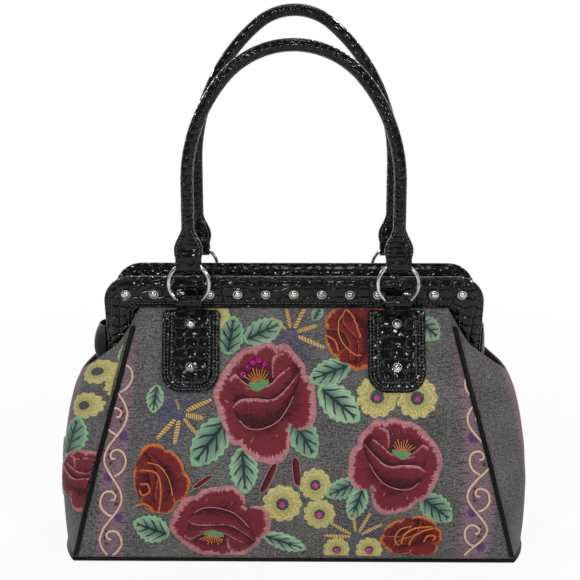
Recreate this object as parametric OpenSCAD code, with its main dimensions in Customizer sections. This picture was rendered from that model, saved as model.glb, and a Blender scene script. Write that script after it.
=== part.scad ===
// Hinged-frame satchel: a soft cloth body under two padded frame halves that swing on
// two hinge pins, with rolled handles that hang in rings.
// The front faces -Y, up is +Z and the bag stands on z = 0. Sizes are in millimetres.

/* [Body] */
// Width between the front seams at the floor
base_w = 406; // [390:1:420]
// Depth of the bag at the floor
base_d = 150; // [142:1:160]
// Room between a panel's top corners and the frame's legs
top_in = 5; // [4:0.5:10]
// Lean of the flat upper part of each panel
panel_slope = 18.9; // [17.5:0.1:20]
// Thickness of the padded cloth
cloth_t = 2.4; // [1.8:0.1:2.8]
// Most that a panel bulges between its seams
panel_bulge = 6; // [2:0.5:8]
// Most that a gusset bulges out of its seams
gusset_bulge = 46; // [42:1:52]
// Height of a gusset's top edge in its middle
gusset_mid_z = 166; // [162:1:170]
// Height of a gusset's top corners
gusset_tip_z = 212; // [208:1:214]
// Radius of the side piping
piping_r = 2; // [1.5:0.1:2.2]
// Radius of the piping round the base
base_piping_r = 1.9; // [1.5:0.1:2]
// Bulge of the left gusset insert, which is folded out
left_insert_bulge = 15; // [8:1:16]
// Bulge of the right gusset insert, which is folded in
right_insert_bulge = 5; // [3:1:16]

/* [Frame halves] */
// Width of a frame half over its band
frame_w = 350; // [348:1:356]
// Height of the band's top edge over the hinge pins
frame_h = 116; // [112:1:120]
// Height of the band along its top bar
band_h = 31; // [29:1:33]
// Width of the band down each leg
leg_w = 27; // [24:1:28]
// Thickness of the padded band
band_t = 11; // [10:0.5:12]
// Outer corner radius of the band
band_r = 26; // [20:1:30]
// Stitched margin round the band's padding
band_margin = 4; // [3:0.5:5]
// Height of the hinge pins over the floor
hinge_z = 150; // [148:1:152]
// Lean of each half out of its closed place, as it stands
frame_lean = 14; // [13:0.5:15]
// Thickness of the steel hoop
bar_t = 2; // [1.6:0.1:2.2]
// Radius of the hinge pins
pin_r = 2; // [1.6:0.1:2.4]

/* [Studs] */
// Studs along each band
stud_count = 13; // [9:1:13]
// Distance of the last stud from the end of the band
stud_edge = 21.4; // [19:0.1:24]
// Radius of a stud's dome
stud_r = 3.7; // [3:0.1:4]
// Height of a stud's dome
stud_dome_h = 2.4; // [1.6:0.1:2.6]

/* [Ring tabs] */
// Distance of each ring from the middle of the bag
ring_x = 94.5; // [90:0.5:98]
// Width of a patch
patch_w = 50; // [46:1:54]
// Length of a patch
patch_l = 76; // [72:1:80]
// Radius of a patch's lower corners
patch_r = 18; // [14:1:20]
// Thickness of a patch
patch_t = 2.4; // [1.6:0.1:2.8]
// Thickness of a ring strap
strap_t = 2; // [1.6:0.1:2.4]
// Width of the loops on the straps and handles
loop_w = 23; // [21:0.5:24]
// Wall of a loop
loop_wall = 1.5; // [1.3:0.1:1.6]
// Mean radius of a ring
ring_r = 18.3; // [17.5:0.1:19]
// Radius of a ring's wire
wire_r = 1.7; // [1.5:0.1:1.8]
// Rise of the strap loops' axis over a panel's top edge
loop_rise = 9.7; // [9.5:0.1:11]

/* [Handles] */
// Radius of a rolled handle
handle_r = 5.8; // [5:0.1:6.5]
// Height of the front handle's middle line over its loops
front_handle_h = 194; // [180:1:205]
// Height of the rear handle's middle line over its loops
rear_handle_h = 227; // [210:1:236]
// Radius of the front handle's crown
front_crown_r = 80; // [74:1:84]
// Radius of the rear handle's crown
rear_crown_r = 54; // [48:1:60]
// Half angle of the front crown
front_crown_a = 50; // [46:1:54]
// Half angle of the rear crown
rear_crown_a = 40; // [36:1:44]
// Half width of a handle's flat end
flare_r = 13; // [12.2:0.1:14]
// Thickness of a handle's flat end
flare_t = 9; // [8:0.5:10]

/* [Embroidery] */
// Height of the petals over the cloth
petal_h = 1.6; // [1:0.1:2]
// Height of the leaves over the cloth
leaf_h = 1; // [0.7:0.1:1.4]
// Radius of a crystal
crystal_r = 2.6; // [2:0.1:3]

/* [Hidden] */
$fn = 48;
// gap between separate pieces, and the play of the rings and bars
gap = 0.4;
play = 0.35;
pin_play = 0.15;
closed_gap = 1;
top_w = frame_w - 2 * leg_w - 2 * top_in;
stud_pitch = (frame_w - 2 * stud_edge) / (stud_count - 1);
// one frame half, seen closed: faces of the band and the leg ends
band_back = closed_gap / 2;
band_front = band_back + band_t;
band_mid = (band_back + band_front) / 2;
leg_end = 12;
bar_d = 8;
bar_hw = frame_w / 2 - leg_w / 2;
bar_top = frame_h - band_h / 2 + 6;
bar_r = band_r - 6;
eye_r = 6;
// top edge of a panel, just under the band
top_z = hinge_z + (frame_h - band_h) * cos(frame_lean) - band_mid * sin(frame_lean)
    - cloth_t / 2 * tan(frame_lean) - gap;
top_y = (frame_h - band_h) * sin(frame_lean) + band_mid * cos(frame_lean) + cloth_t / 2;
// side profile: flat above the hinge, a curve below it
slope = tan(panel_slope);
knee_y = top_y + (top_z - hinge_z) * slope;
profile_k = (knee_y + slope * hinge_z - base_d / 2) / pow(hinge_z, 2);
full_z = 140;
wall_z = 2 * base_piping_r + 0.7;
// ring play: the wire's bend sweeps a round space inside each loop, most at the loop's ends
bend_rise = ring_r - sqrt(pow(ring_r, 2) - pow(loop_w / 2, 2));
bend_tilt = asin(loop_w / 2 / ring_r);
loop_bore = bend_rise / 2 + wire_r / cos(bend_tilt) + play;
loop_r = loop_bore + loop_wall;
ring_y = band_front * cos(frame_lean) + frame_h * sin(frame_lean) + wire_r + 3;
strap_loop_z = top_z + loop_rise;
ring_z = strap_loop_z - bend_rise / 2 + ring_r;
handle_loop_z = ring_z + ring_r - bend_rise / 2;
tube_end = handle_loop_z + 44;
// stretches of a handle stop this short of each other inside a wrap
cut = 0.3;
patch_top = 2;
lining_t = 0.8;
lining_in = cloth_t * 1.06 + 0.6;

cloth_colour = [0.37, 0.36, 0.35];
patent_colour = [0.07, 0.07, 0.07];
metal_colour = [0.6, 0.6, 0.58];

// Body surface

function seam_x(z) = base_w / 2 - (base_w - top_w) / 2 * z / top_z;
function seam_y(z) = z >= hinge_z ? top_y + (top_z - z) * slope
    : knee_y + slope * (hinge_z - z) - profile_k * pow(hinge_z - z, 2);
function bulge(z) = z >= hinge_z ? 0 : panel_bulge * pow(sin(180 * z / hinge_z), 2);
function panel_y(x, z) = seam_y(z) + bulge(z) * (1 - pow(x / seam_x(z), 2));
function swell(z) = gusset_bulge * (z < full_z
    ? 0.33 + 0.67 * (1 - pow(1 - z / full_z, 2))
    : 1 - 0.5 * pow((z - full_z) / (gusset_tip_z - full_z), 2));
function gusset_x(u, z) = seam_x(z) + swell(z) * (1 - pow(abs(u), 3));
function gusset_top(u, mid, tip) = mid + (tip - mid) * pow(abs(u), 2.5);

// a closed solid between two grids of points, the first one outside
module sheet(outer, inner) {
    rows = len(outer);
    cols = len(outer[0]);
    n = rows * cols;
    function at(j, i) = j * cols + i;
    points = concat([for (r = outer) each r], [for (r = inner) each r]);
    faces = concat(
        [for (j = [0:rows - 2], i = [0:cols - 2]) each [
            [at(j, i), at(j + 1, i), at(j + 1, i + 1)],
            [at(j, i), at(j + 1, i + 1), at(j, i + 1)],
            [n + at(j, i), n + at(j + 1, i + 1), n + at(j + 1, i)],
            [n + at(j, i), n + at(j, i + 1), n + at(j + 1, i + 1)]]],
        [for (i = [0:cols - 2]) each [
            [at(0, i), at(0, i + 1), n + at(0, i + 1)],
            [at(0, i), n + at(0, i + 1), n + at(0, i)],
            [at(rows - 1, i), n + at(rows - 1, i + 1), at(rows - 1, i + 1)],
            [at(rows - 1, i), n + at(rows - 1, i), n + at(rows - 1, i + 1)]]],
        [for (j = [0:rows - 2]) each [
            [at(j, 0), n + at(j + 1, 0), at(j + 1, 0)],
            [at(j, 0), n + at(j, 0), n + at(j + 1, 0)],
            [at(j, cols - 1), at(j + 1, cols - 1), n + at(j + 1, cols - 1)],
            [at(j, cols - 1), n + at(j + 1, cols - 1), n + at(j, cols - 1)]]]);
    polyhedron(points, faces);
}

module panel() {
    nx = 16;
    nz = 18;
    edge = 1.8;
    function grid(shift) = [for (j = [0:nz]) let (z = wall_z + (top_z - wall_z) * j / nz)
        [for (i = [0:nx]) let (x = (seam_x(z) - edge) * (2 * i / nx - 1))
            [x, -panel_y(x, z) + shift, z]]];
    color(cloth_colour) sheet(grid(0), grid(cloth_t * 1.04));
}

module gusset() {
    nu = 16;
    nz = 14;
    function grid(depth) = [for (j = [0:nz]) [for (i = [0:nu]) let (
        v = 2 * i / nu - 1,
        e = sign(v) * (1 - pow(1 - abs(v), 1.4)),
        z = wall_z + (gusset_top(e, gusset_mid_z, gusset_tip_z) - wall_z) * j / nz,
        u = e * (1 - 1.8 / seam_y(z)),
        lean = 3 * swell(z) * u * abs(u) / seam_y(z),
        length = sqrt(1 + lean * lean))
        [gusset_x(u, z) - depth / length, u * seam_y(z) - depth * lean / length, z]]];
    color(cloth_colour) sheet(grid(0), grid(cloth_t));
}

// soft black fold between the legs of the two halves, on the right side
module gusset_insert(puff) {
    ny = 10;
    nz = 7;
    foot = hinge_z + leg_end + 2;
    head = gusset_tip_z - 2;
    x0 = frame_w / 2 + gap;
    function grid(depth) = [for (j = [0:nz]) let (
        z = foot + (head - foot) * j / nz,
        half = band_mid * cos(frame_lean) + (z - hinge_z) * tan(frame_lean) - 1,
        puffed = puff * (0.35 + 0.65 * sin(180 * (0.12 + 0.78 * (1 - j / nz)))))
        [for (i = [0:ny]) let (v = 2 * i / ny - 1)
            [x0 + 1.2 - depth + puffed * (1 - v * v), v * half, z]]];
    color(patent_colour) sheet(grid(0), grid(1.2));
}

function ground(inset) = concat(
    [for (i = [0:16]) let (u = i / 8 - 1)
        [gusset_x(u, 0) - inset, u * (base_d / 2 - inset)]],
    [for (i = [0:16]) let (u = 1 - i / 8)
        [-gusset_x(u, 0) + inset, u * (base_d / 2 - inset)]]);

module base_panel() {
    color(cloth_colour) linear_extrude(1.8) polygon(ground(base_piping_r + gap));
}

module base_board() {
    color([0.3, 0.28, 0.26]) translate([0, 0, 2.1]) linear_extrude(1.8)
        polygon(ground(base_piping_r + 1.2));
}

// lining: a pouch one step inside the cloth, with a scooped rim at the sides
module lining() {
    nf = 8;
    ng = 10;
    nz = 7;
    floor_z = wall_z + 0.4;
    rim = top_z - 3;
    tip = gusset_tip_z - 4;
    function front_top(k) = rim - (rim - tip) * max(0, (abs(k) - 0.75) / 0.25);
    function side(t, inset) = concat(
        [for (i = [0:nf - 1]) let (
            k = 2 * i / nf - 1,
            z = floor_z + (front_top(k) - floor_z) * t,
            x = k * (seam_x(z) - inset))
            [x, inset - panel_y(x, z), z]],
        [for (i = [0:ng - 1]) let (
            v = 2 * i / ng - 1,
            z = floor_z + (gusset_top(v, hinge_z, tip) - floor_z) * t)
            [gusset_x(v, z) - inset, v * (seam_y(z) - inset), z]]);
    function loop(t, inset) = let (half = side(t, inset))
        concat(half, [for (p = half) [-p[0], -p[1], p[2]]]);
    n = 2 * (nf + ng);
    lift = [0, 0, lining_t];
    outer = [for (j = [0:nz]) each loop(j / nz, lining_in)];
    inner = [for (j = [0:nz]) each
        [for (p = loop(j / nz, lining_in + lining_t)) j == 0 ? p + lift : p]];
    m = n * (nz + 1);
    points = concat(outer, inner, [[0, 0, floor_z], [0, 0, floor_z + lining_t]]);
    function nxt(i) = (i + 1) % n;
    faces = concat(
        [for (j = [0:nz - 1], i = [0:n - 1]) each [
            [j * n + i, (j + 1) * n + i, (j + 1) * n + nxt(i)],
            [j * n + i, (j + 1) * n + nxt(i), j * n + nxt(i)],
            [m + j * n + i, m + (j + 1) * n + nxt(i), m + (j + 1) * n + i],
            [m + j * n + i, m + j * n + nxt(i), m + (j + 1) * n + nxt(i)]]],
        [for (i = [0:n - 1]) each [
            [nz * n + i, m + nz * n + nxt(i), nz * n + nxt(i)],
            [nz * n + i, m + nz * n + i, m + nz * n + nxt(i)],
            [2 * m, i, nxt(i)],
            [2 * m + 1, m + nxt(i), m + i]]]);
    color([0.1, 0.1, 0.1]) polyhedron(points, faces);
}

// a round cord along a list of points
module cord(path, r, ref, closed = false) {
    k = 8;
    n = len(path);
    function ahead(i) = closed ? path[(i + 1) % n] : path[min(i + 1, n - 1)];
    function behind(i) = closed ? path[(i + n - 1) % n] : path[max(i - 1, 0)];
    function unit(v) = v / norm(v);
    points = [for (i = [0:n - 1]) let (
        t = unit(ahead(i) - behind(i)),
        a = unit(cross(t, ref)),
        b = cross(t, a))
        for (s = [0:k - 1]) path[i] + r * (cos(360 * s / k) * a + sin(360 * s / k) * b)];
    last = closed ? n - 1 : n - 2;
    faces = concat(
        [for (i = [0:last], s = [0:k - 1]) let (
            j = (i + 1) % n,
            q = (s + 1) % k) each [
            [i * k + s, i * k + q, j * k + q],
            [i * k + s, j * k + q, j * k + s]]],
        closed ? [] : [[for (s = [k - 1:-1:0]) s], [for (s = [0:k - 1]) (n - 1) * k + s]]);
    polyhedron(points, faces);
}

module side_piping() {
    steps = 22;
    foot = wall_z + 2.5;
    head = top_z - 9;
    path = [for (i = [0:steps]) let (z = foot + (head - foot) * i / steps)
        [seam_x(z) + 0.6, -seam_y(z) - 1, z]];
    color(patent_colour) cord(path, piping_r, [1, 0, 0]);
}

module base_piping() {
    color(patent_colour) cord(
        [for (p = ground(0)) [p[0], p[1], base_piping_r + 0.1]], base_piping_r, [0, 0, 1], true);
}

// Frame halves, drawn closed about the hinge pins and then leaned out

module leaned() {
    translate([0, 0, hinge_z]) rotate([frame_lean, 0, 0]) children();
}

// arch of a given half width and height with round top corners
module arch(hw, top, r, foot) {
    translate([-hw, foot]) square([2 * hw, top - r - foot]);
    translate([r - hw, foot]) square([2 * (hw - r), top - foot]);
    for (s = [-1, 1]) translate([s * (hw - r), top - r]) circle(r);
}

module band_shape(inset) {
    hole = frame_w / 2 - leg_w + inset;
    difference() {
        arch(frame_w / 2 - inset, frame_h - inset, band_r - inset, leg_end + inset);
        arch(hole, frame_h - band_h + inset, 8 + inset, 0);
    }
}

module slab(back, thick) {
    translate([0, -back, 0]) rotate([90, 0, 0]) linear_extrude(thick) children();
}

module hoop(hw, grow) {
    slab(band_mid - bar_d / 2 - grow, bar_d + 2 * grow) difference() {
        arch(hw + grow, bar_top + grow, bar_r + grow, leg_end - 2 - grow);
        arch(hw - bar_t - grow, bar_top - bar_t - grow, bar_r - bar_t - grow, 0);
    }
}

// each half: the rear hoop is wider, so the eyes lie side by side on the pins
module band(hw) {
    color(patent_colour) difference() {
        union() {
            slab(band_back + 2, band_t - 4) band_shape(0);
            slab(band_back, band_t) band_shape(band_margin);
        }
        hoop(hw, play);
    }
}

module frame_bar(hw) {
    color(metal_colour) union() {
        hoop(hw, 0);
        for (s = [-1, 1]) translate([s * (hw - bar_t / 2) - bar_t / 2, 0, 0])
            rotate([90, 0, 90]) linear_extrude(bar_t) difference() {
                union() {
                    circle(eye_r);
                    polygon([[-band_mid - bar_d / 2, leg_end], [-band_mid + bar_d / 2, leg_end],
                        [5.7, 1.5], [-5.5, -2.4]]);
                }
                circle(pin_r + pin_play);
            }
    }
}

front_hw = bar_hw;
rear_hw = bar_hw + bar_t + gap;

// rivet through both eyes, on the right side
module hinge_pin() {
    color(metal_colour) translate([front_hw - bar_t, 0, hinge_z]) rotate([0, 90, 0]) {
        cylinder(r = pin_r, h = 2 * bar_t + 2 * gap);
        translate([0, 0, -1.2]) cylinder(r = pin_r + 2, h = 1.2);
        translate([0, 0, 2 * bar_t + 2 * gap]) cylinder(r = pin_r + 2, h = 1.2);
    }
}

module dome_stud() {
    ball = (pow(stud_r, 2) + pow(stud_dome_h, 2)) / (2 * stud_dome_h);
    rotate([90, 0, 0]) {
        cylinder(r = stud_r + 0.5, h = 0.8);
        translate([0, 0, 0.8]) intersection() {
            translate([0, 0, stud_dome_h - ball]) sphere(ball);
            cylinder(r = stud_r, h = stud_dome_h);
        }
    }
}

module band_studs() {
    color(metal_colour) leaned() for (i = [0:stud_count - 1])
        translate([(i - (stud_count - 1) / 2) * stud_pitch, -band_front, frame_h - band_h / 2])
            dome_stud();
}

// Ring tabs, drawn on the flat upper part of a panel with their top edge at z = 0

module on_panel(x) {
    translate([x, -top_y, top_z]) rotate([-panel_slope, 0, 0]) children();
}

module tongue(w, length, r) {
    translate([-w / 2, r - length]) square([w, length - r]);
    translate([r - w / 2, -length]) square([w - 2 * r, r + 1]);
    for (s = [-1, 1]) translate([s * (w / 2 - r), r - length]) circle(r);
}

module patch(x) {
    color(patent_colour) on_panel(x) translate([0, 0, -patch_top]) slab(gap, patch_t)
        tongue(patch_w, patch_l, patch_r);
}

module strap(x) {
    face = gap + patch_t;
    strap_l = patch_l - 9;
    color(patent_colour) difference() {
        union() {
            on_panel(x) translate([0, 0, -patch_top - 1.5]) slab(face, strap_t)
                tongue(patch_w - 15, strap_l, patch_r - 7);
            hull() {
                on_panel(x) translate([-loop_w / 2, -face - strap_t, -patch_top - 8])
                    cube([loop_w, strap_t, 4]);
                loop_at(x, strap_loop_z, loop_r, loop_w, 32);
            }
        }
        loop_at(x, strap_loop_z, loop_bore, loop_w + 4, 48);
    }
}

module loop_at(x, z, r, w, sides) {
    translate([x - w / 2, -ring_y, z]) rotate([0, 90, 0]) cylinder(r = r, h = w, $fn = sides);
}

module strap_studs() {
    color(metal_colour) for (s = [-1, 1], z = [-15, -55]) on_panel(s * ring_x)
        translate([0, -gap - patch_t - strap_t, z]) dome_stud();
}

module ring(x) {
    color(metal_colour) translate([x, -ring_y, ring_z]) rotate([90, 0, 0])
        rotate_extrude() translate([ring_r, 0]) circle(wire_r);
}

// Handles: a crown arc, two shoulder arcs and two straight legs, all tangent

module arc_tube(x, z, r, a0, a1) {
    translate([x, 0, z]) rotate([90, 0, 0]) rotate([0, 0, a0])
        rotate_extrude(angle = a1 - a0) translate([r, 0]) circle(handle_r);
}

module handle_end() {
    hull() {
        translate([0, 0, tube_end - 1]) cylinder(r = handle_r, h = 1, $fn = 32);
        translate([0, flare_t / 2, handle_loop_z + 15]) rotate([90, 0, 0])
            cylinder(r = flare_r, h = flare_t, $fn = 32);
        translate([-loop_w / 2, 0, handle_loop_z + cut]) rotate([0, 90, 0])
            cylinder(r = loop_r, h = loop_w, $fn = 32);
    }
}

// sewn wrap where two stretches of a handle meet
module collar() {
    cylinder(r = handle_r + 0.25, h = 3, center = true);
}

module handle(height, crown_r, crown_a) {
    shoulder_r = (ring_x - crown_r * sin(crown_a)) / (1 - sin(crown_a));
    crown_z = handle_loop_z + height - crown_r;
    off = shoulder_r - crown_r;
    shoulder_z = crown_z - off * cos(crown_a);
    turn = crown_a - 180 * cut / (PI * crown_r);
    bend = 180 * cut / (PI * shoulder_r);
    color(patent_colour) translate([0, -ring_y, 0]) difference() {
        union() {
            arc_tube(0, crown_z, crown_r, 90 - turn, 90 + turn);
            arc_tube(-off * sin(crown_a), shoulder_z, shoulder_r, bend, 90 - crown_a - bend);
            arc_tube(off * sin(crown_a), shoulder_z, shoulder_r, 90 + crown_a + bend, 180 - bend);
            for (s = [-1, 1]) {
                translate([s * crown_r * sin(crown_a), 0, crown_z + crown_r * cos(crown_a)])
                    rotate([0, 90 + s * crown_a, 0]) collar();
                translate([s * ring_x, 0, shoulder_z]) collar();
                translate([s * ring_x, 0, tube_end]) collar();
                translate([s * ring_x, 0, tube_end + cut])
                    cylinder(r = handle_r, h = shoulder_z - tube_end - 2 * cut);
                translate([s * ring_x, 0, -cut]) handle_end();
            }
        }
        for (s = [-1, 1]) translate([s * ring_x - loop_w, 0, handle_loop_z])
            rotate([0, 90, 0]) cylinder(r = loop_bore, h = 2 * loop_w);
    }
}

// Embroidery: low domed patches that follow the front panel

// the design is drawn on a panel of this width and height, and follows the real one
drawn_w = 406;
drawn_h = 230.3;
function on_cloth(p, lift) = let (x = p[0] * base_w / drawn_w, z = p[1] * top_z / drawn_h)
    [x, -panel_y(x, z) - lift, z];

// rim is a closed list of points round the middle, seen from the front
module embroidered(middle, rim, height) {
    n = len(rim);
    half = [for (p = rim) (p + middle) / 2];
    points = concat(
        [on_cloth(middle, gap), on_cloth(middle, gap + height)],
        [for (p = half) on_cloth(p, gap)], [for (p = rim) on_cloth(p, gap)],
        [for (p = rim) on_cloth(p, gap + 0.45)],
        [for (p = half) on_cloth(p, gap + 0.85 * height)]);
    function ring_at(j, i) = 2 + j * n + i % n;
    faces = concat(
        [for (i = [0:n - 1]) each [
            [0, ring_at(0, i + 1), ring_at(0, i)],
            [1, ring_at(3, i), ring_at(3, i + 1)]]],
        [for (j = [0:2], i = [0:n - 1]) each [
            [ring_at(j, i), ring_at(j, i + 1), ring_at(j + 1, i + 1)],
            [ring_at(j, i), ring_at(j + 1, i + 1), ring_at(j + 1, i)]]]);
    polyhedron(points, faces);
}

// rose: a scalloped rim; a smaller one turns inside it in scene work
module rose(x, z, rx, rz, petals, turn) {
    embroidered([x, z], [for (i = [0:27]) let (
        a = -360 * i / 28,
        r = 0.9 + 0.1 * abs(cos(petals * a / 2 + turn)))
        [x + rx * r * cos(a), z + rz * r * sin(a)]], petal_h);
}

module leaf(x, z, length, width, turn) {
    embroidered([x, z], [for (i = [0:11]) let (
        a = -30 * i,
        along = length / 2 * cos(a),
        across = width / 2 * sin(a) * (1 - 0.28 * cos(a)))
        [x + along * cos(turn) - across * sin(turn), z + along * sin(turn) + across * cos(turn)]],
        leaf_h);
}

module blossom(x, z, r) {
    embroidered([x, z], [for (i = [0:19]) let (
        a = -18 * i,
        s = r * (i % 2 == 0 ? 1 : 0.86))
        [x + s * cos(a), z + s * sin(a)]], leaf_h);
}

module ray(x, z, from, to, turn) {
    function way(d, side) = [x + d * cos(turn) - side * sin(turn), z + d * sin(turn) + side * cos(turn)];
    embroidered(way((from + to) / 2, 0), [way(from, 0.8), way((from + to) / 2, 2.2), way(to, 1),
        way(to, -1), way((from + to) / 2, -2.2), way(from, -0.8)], 0.8);
}

module rose_embroidery() {
    color([0.45, 0.16, 0.2]) {
        rose(-24, 147, 50, 49, 7, 20);
        rose(92, 88, 40, 42, 6, 0);
        rose(-70, 40, 44, 33, 6, 40);
    }
    color([0.6, 0.27, 0.17]) {
        rose(-121, 80, 27, 29, 5, 10);
        rose(42, 203, 24, 24, 5, 30);
        rose(108, 25, 30, 17, 5, 0);
    }
}

module leaf_embroidery() {
    color([0.45, 0.62, 0.45]) {
        leaf(-58, 209, 22, 20, 70);
        leaf(-27, 210, 30, 20, 15);
        leaf(-126, 146, 22, 14, 255);
        leaf(-80, 99, 36, 24, 235);
        leaf(-43, 84, 28, 24, 275);
        leaf(26, 98, 28, 22, 300);
        leaf(41, 165, 28, 18, 10);
        leaf(47, 135, 38, 26, 325);
        leaf(44, 66, 22, 14, 250);
        leaf(138, 50, 28, 22, 320);
        leaf(-132, 34, 30, 24, 160);
        leaf(-4, 20, 36, 18, 340);
    }
}

module blossom_embroidery() {
    color([0.72, 0.68, 0.38]) {
        blossom(-10, 58, 17);
        blossom(18, 74, 13);
        blossom(26, 46, 13);
        blossom(78, 141, 13);
        blossom(113, 141, 13);
        blossom(40, 20, 13);
    }
}

module ray_embroidery() {
    color([0.78, 0.62, 0.33]) {
        for (a = [20, 325, 300, 260, 225]) ray(-104, 138, 5, 25, a);
        for (a = [345, 10, 60, 100, 140]) ray(2, 205, 5, 17, a);
        for (a = [60, 90, 120, 150]) ray(69, 23, 4, 18, a);
    }
}

module crystals() {
    color([0.6, 0.1, 0.45])
        for (p = [[-10, 58], [18, 74], [26, 46], [78, 141], [113, 141], [40, 20],
            [-48, 172], [-43, 177], [-37, 180], [-31, 179]])
            translate(on_cloth(p, gap + petal_h + 0.3)) rotate([90, 0, 0])
                cylinder(r1 = crystal_r, r2 = crystal_r * 0.55, h = 1.8, $fn = 8);
}

// Sub-parts

module rear() { mirror([0, 1, 0]) children(); }
module left() { mirror([1, 0, 0]) children(); }

panel();  // front_panel
rear() panel();  // rear_panel
left() gusset();  // left_gusset
gusset();  // right_gusset
left() gusset_insert(left_insert_bulge);  // left_gusset_insert
gusset_insert(right_insert_bulge);  // right_gusset_insert
base_panel();
base_board();
lining();
left() side_piping();  // front_left_piping
side_piping();  // front_right_piping
left() rear() side_piping();  // rear_left_piping
rear() side_piping();  // rear_right_piping
base_piping();
leaned() band(front_hw);  // front_band
rear() leaned() band(rear_hw);  // rear_band
leaned() frame_bar(front_hw);  // front_frame_bar
rear() leaned() frame_bar(rear_hw);  // rear_frame_bar
left() hinge_pin();  // left_hinge_pin
hinge_pin();  // right_hinge_pin
band_studs();  // front_band_studs
rear() band_studs();  // rear_band_studs
patch(-ring_x);  // front_left_patch
patch(ring_x);  // front_right_patch
rear() patch(-ring_x);  // rear_left_patch
rear() patch(ring_x);  // rear_right_patch
strap(-ring_x);  // front_left_strap
strap(ring_x);  // front_right_strap
rear() strap(-ring_x);  // rear_left_strap
rear() strap(ring_x);  // rear_right_strap
strap_studs();  // front_strap_studs
rear() strap_studs();  // rear_strap_studs
ring(-ring_x);  // front_left_ring
ring(ring_x);  // front_right_ring
rear() ring(-ring_x);  // rear_left_ring
rear() ring(ring_x);  // rear_right_ring
handle(front_handle_h, front_crown_r, front_crown_a);  // front_handle
rear() handle(rear_handle_h, rear_crown_r, rear_crown_a);  // rear_handle
rose_embroidery();
leaf_embroidery();
blossom_embroidery();
ray_embroidery();
crystals();
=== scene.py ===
import bpy
import math
from mathutils import Matrix, Vector, noise
from mathutils.bvhtree import BVHTree


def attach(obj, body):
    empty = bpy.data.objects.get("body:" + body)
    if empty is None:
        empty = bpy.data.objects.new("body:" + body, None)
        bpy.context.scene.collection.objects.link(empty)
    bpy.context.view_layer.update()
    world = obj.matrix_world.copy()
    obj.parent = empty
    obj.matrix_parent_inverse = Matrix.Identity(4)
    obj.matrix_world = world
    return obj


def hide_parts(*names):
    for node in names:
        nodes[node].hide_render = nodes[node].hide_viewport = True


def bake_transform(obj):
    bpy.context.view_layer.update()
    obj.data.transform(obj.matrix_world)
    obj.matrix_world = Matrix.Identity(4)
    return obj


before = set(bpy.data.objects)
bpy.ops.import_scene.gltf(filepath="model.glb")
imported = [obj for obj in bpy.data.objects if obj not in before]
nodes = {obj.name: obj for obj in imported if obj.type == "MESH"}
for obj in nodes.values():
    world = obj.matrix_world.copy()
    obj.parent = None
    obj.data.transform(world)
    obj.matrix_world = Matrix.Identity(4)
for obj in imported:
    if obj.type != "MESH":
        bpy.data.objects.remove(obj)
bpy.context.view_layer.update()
scene = bpy.context.scene
print("satchel: frame loaded")

# sizes of the body in millimetres, as the solids have them
bag = {"baseW": 406.0, "baseD": 150.0, "topW": 286.0, "lean": 18.9, "bulge": 6.0, "swell": 46.0,
       "midZ": 166.0, "tipZ": 212.0, "hingeZ": 150.0, "fullZ": 140.0, "footSwell": 0.33,
       "footZ": 4.5, "tilt": 14.0,
       "reach": 85.0, "bandMid": 6.0, "wall": 1.2, "gap": 0.4}
tilt = math.radians(bag["tilt"])
lean = math.radians(bag["lean"])
topZ = (bag["hingeZ"] + bag["reach"] * math.cos(tilt) - bag["bandMid"] * math.sin(tilt)
        - bag["wall"] * math.tan(tilt) - bag["gap"])
topY = bag["reach"] * math.sin(tilt) + bag["bandMid"] * math.cos(tilt) + bag["wall"]
slope = math.tan(lean)
kneeY = topY + (topZ - bag["hingeZ"]) * slope
profileK = (kneeY + slope * bag["hingeZ"] - bag["baseD"] / 2) / bag["hingeZ"] ** 2


def seamX(z):
    return bag["baseW"] / 2 - (bag["baseW"] - bag["topW"]) / 2 * z / topZ


def seamY(z):
    h = bag["hingeZ"]
    return topY + (topZ - z) * slope if z >= h else kneeY + slope * (h - z) - profileK * (h - z) ** 2


def panelY(x, z):
    h = bag["hingeZ"]
    out = 0 if z >= h or z <= 0 else bag["bulge"] * math.sin(math.pi * z / h) ** 2
    return seamY(z) + out * (1 - (x / seamX(z)) ** 2)


def swell(z):
    if z < bag["fullZ"]:
        return bag["swell"] * (1 - (1 - bag["footSwell"]) * (1 - z / bag["fullZ"]) ** 2)
    return bag["swell"] * (1 - 0.5 * ((z - bag["fullZ"]) / (bag["tipZ"] - bag["fullZ"])) ** 2)


def gussetTop(u):
    return bag["midZ"] + (bag["tipZ"] - bag["midZ"]) * abs(u) ** 2.5


def metres(x, y, z):
    return Vector((x, y, z)) / 1000


def smooth(t):
    t = min(1, max(0, t))
    return t * t * (3 - 2 * t)


def rounded(t):
    # a quarter circle from nought up to one
    return math.sqrt(max(0, 1 - (1 - min(1, t)) ** 2))


def heading(degrees):
    return math.cos(math.radians(degrees)), math.sin(math.radians(degrees))


def srgb(r, g, b):
    return tuple(c / 255 / 12.92 if c < 11 else ((c / 255 + 0.055) / 1.055) ** 2.4 for c in (r, g, b)) + (1,)


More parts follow.
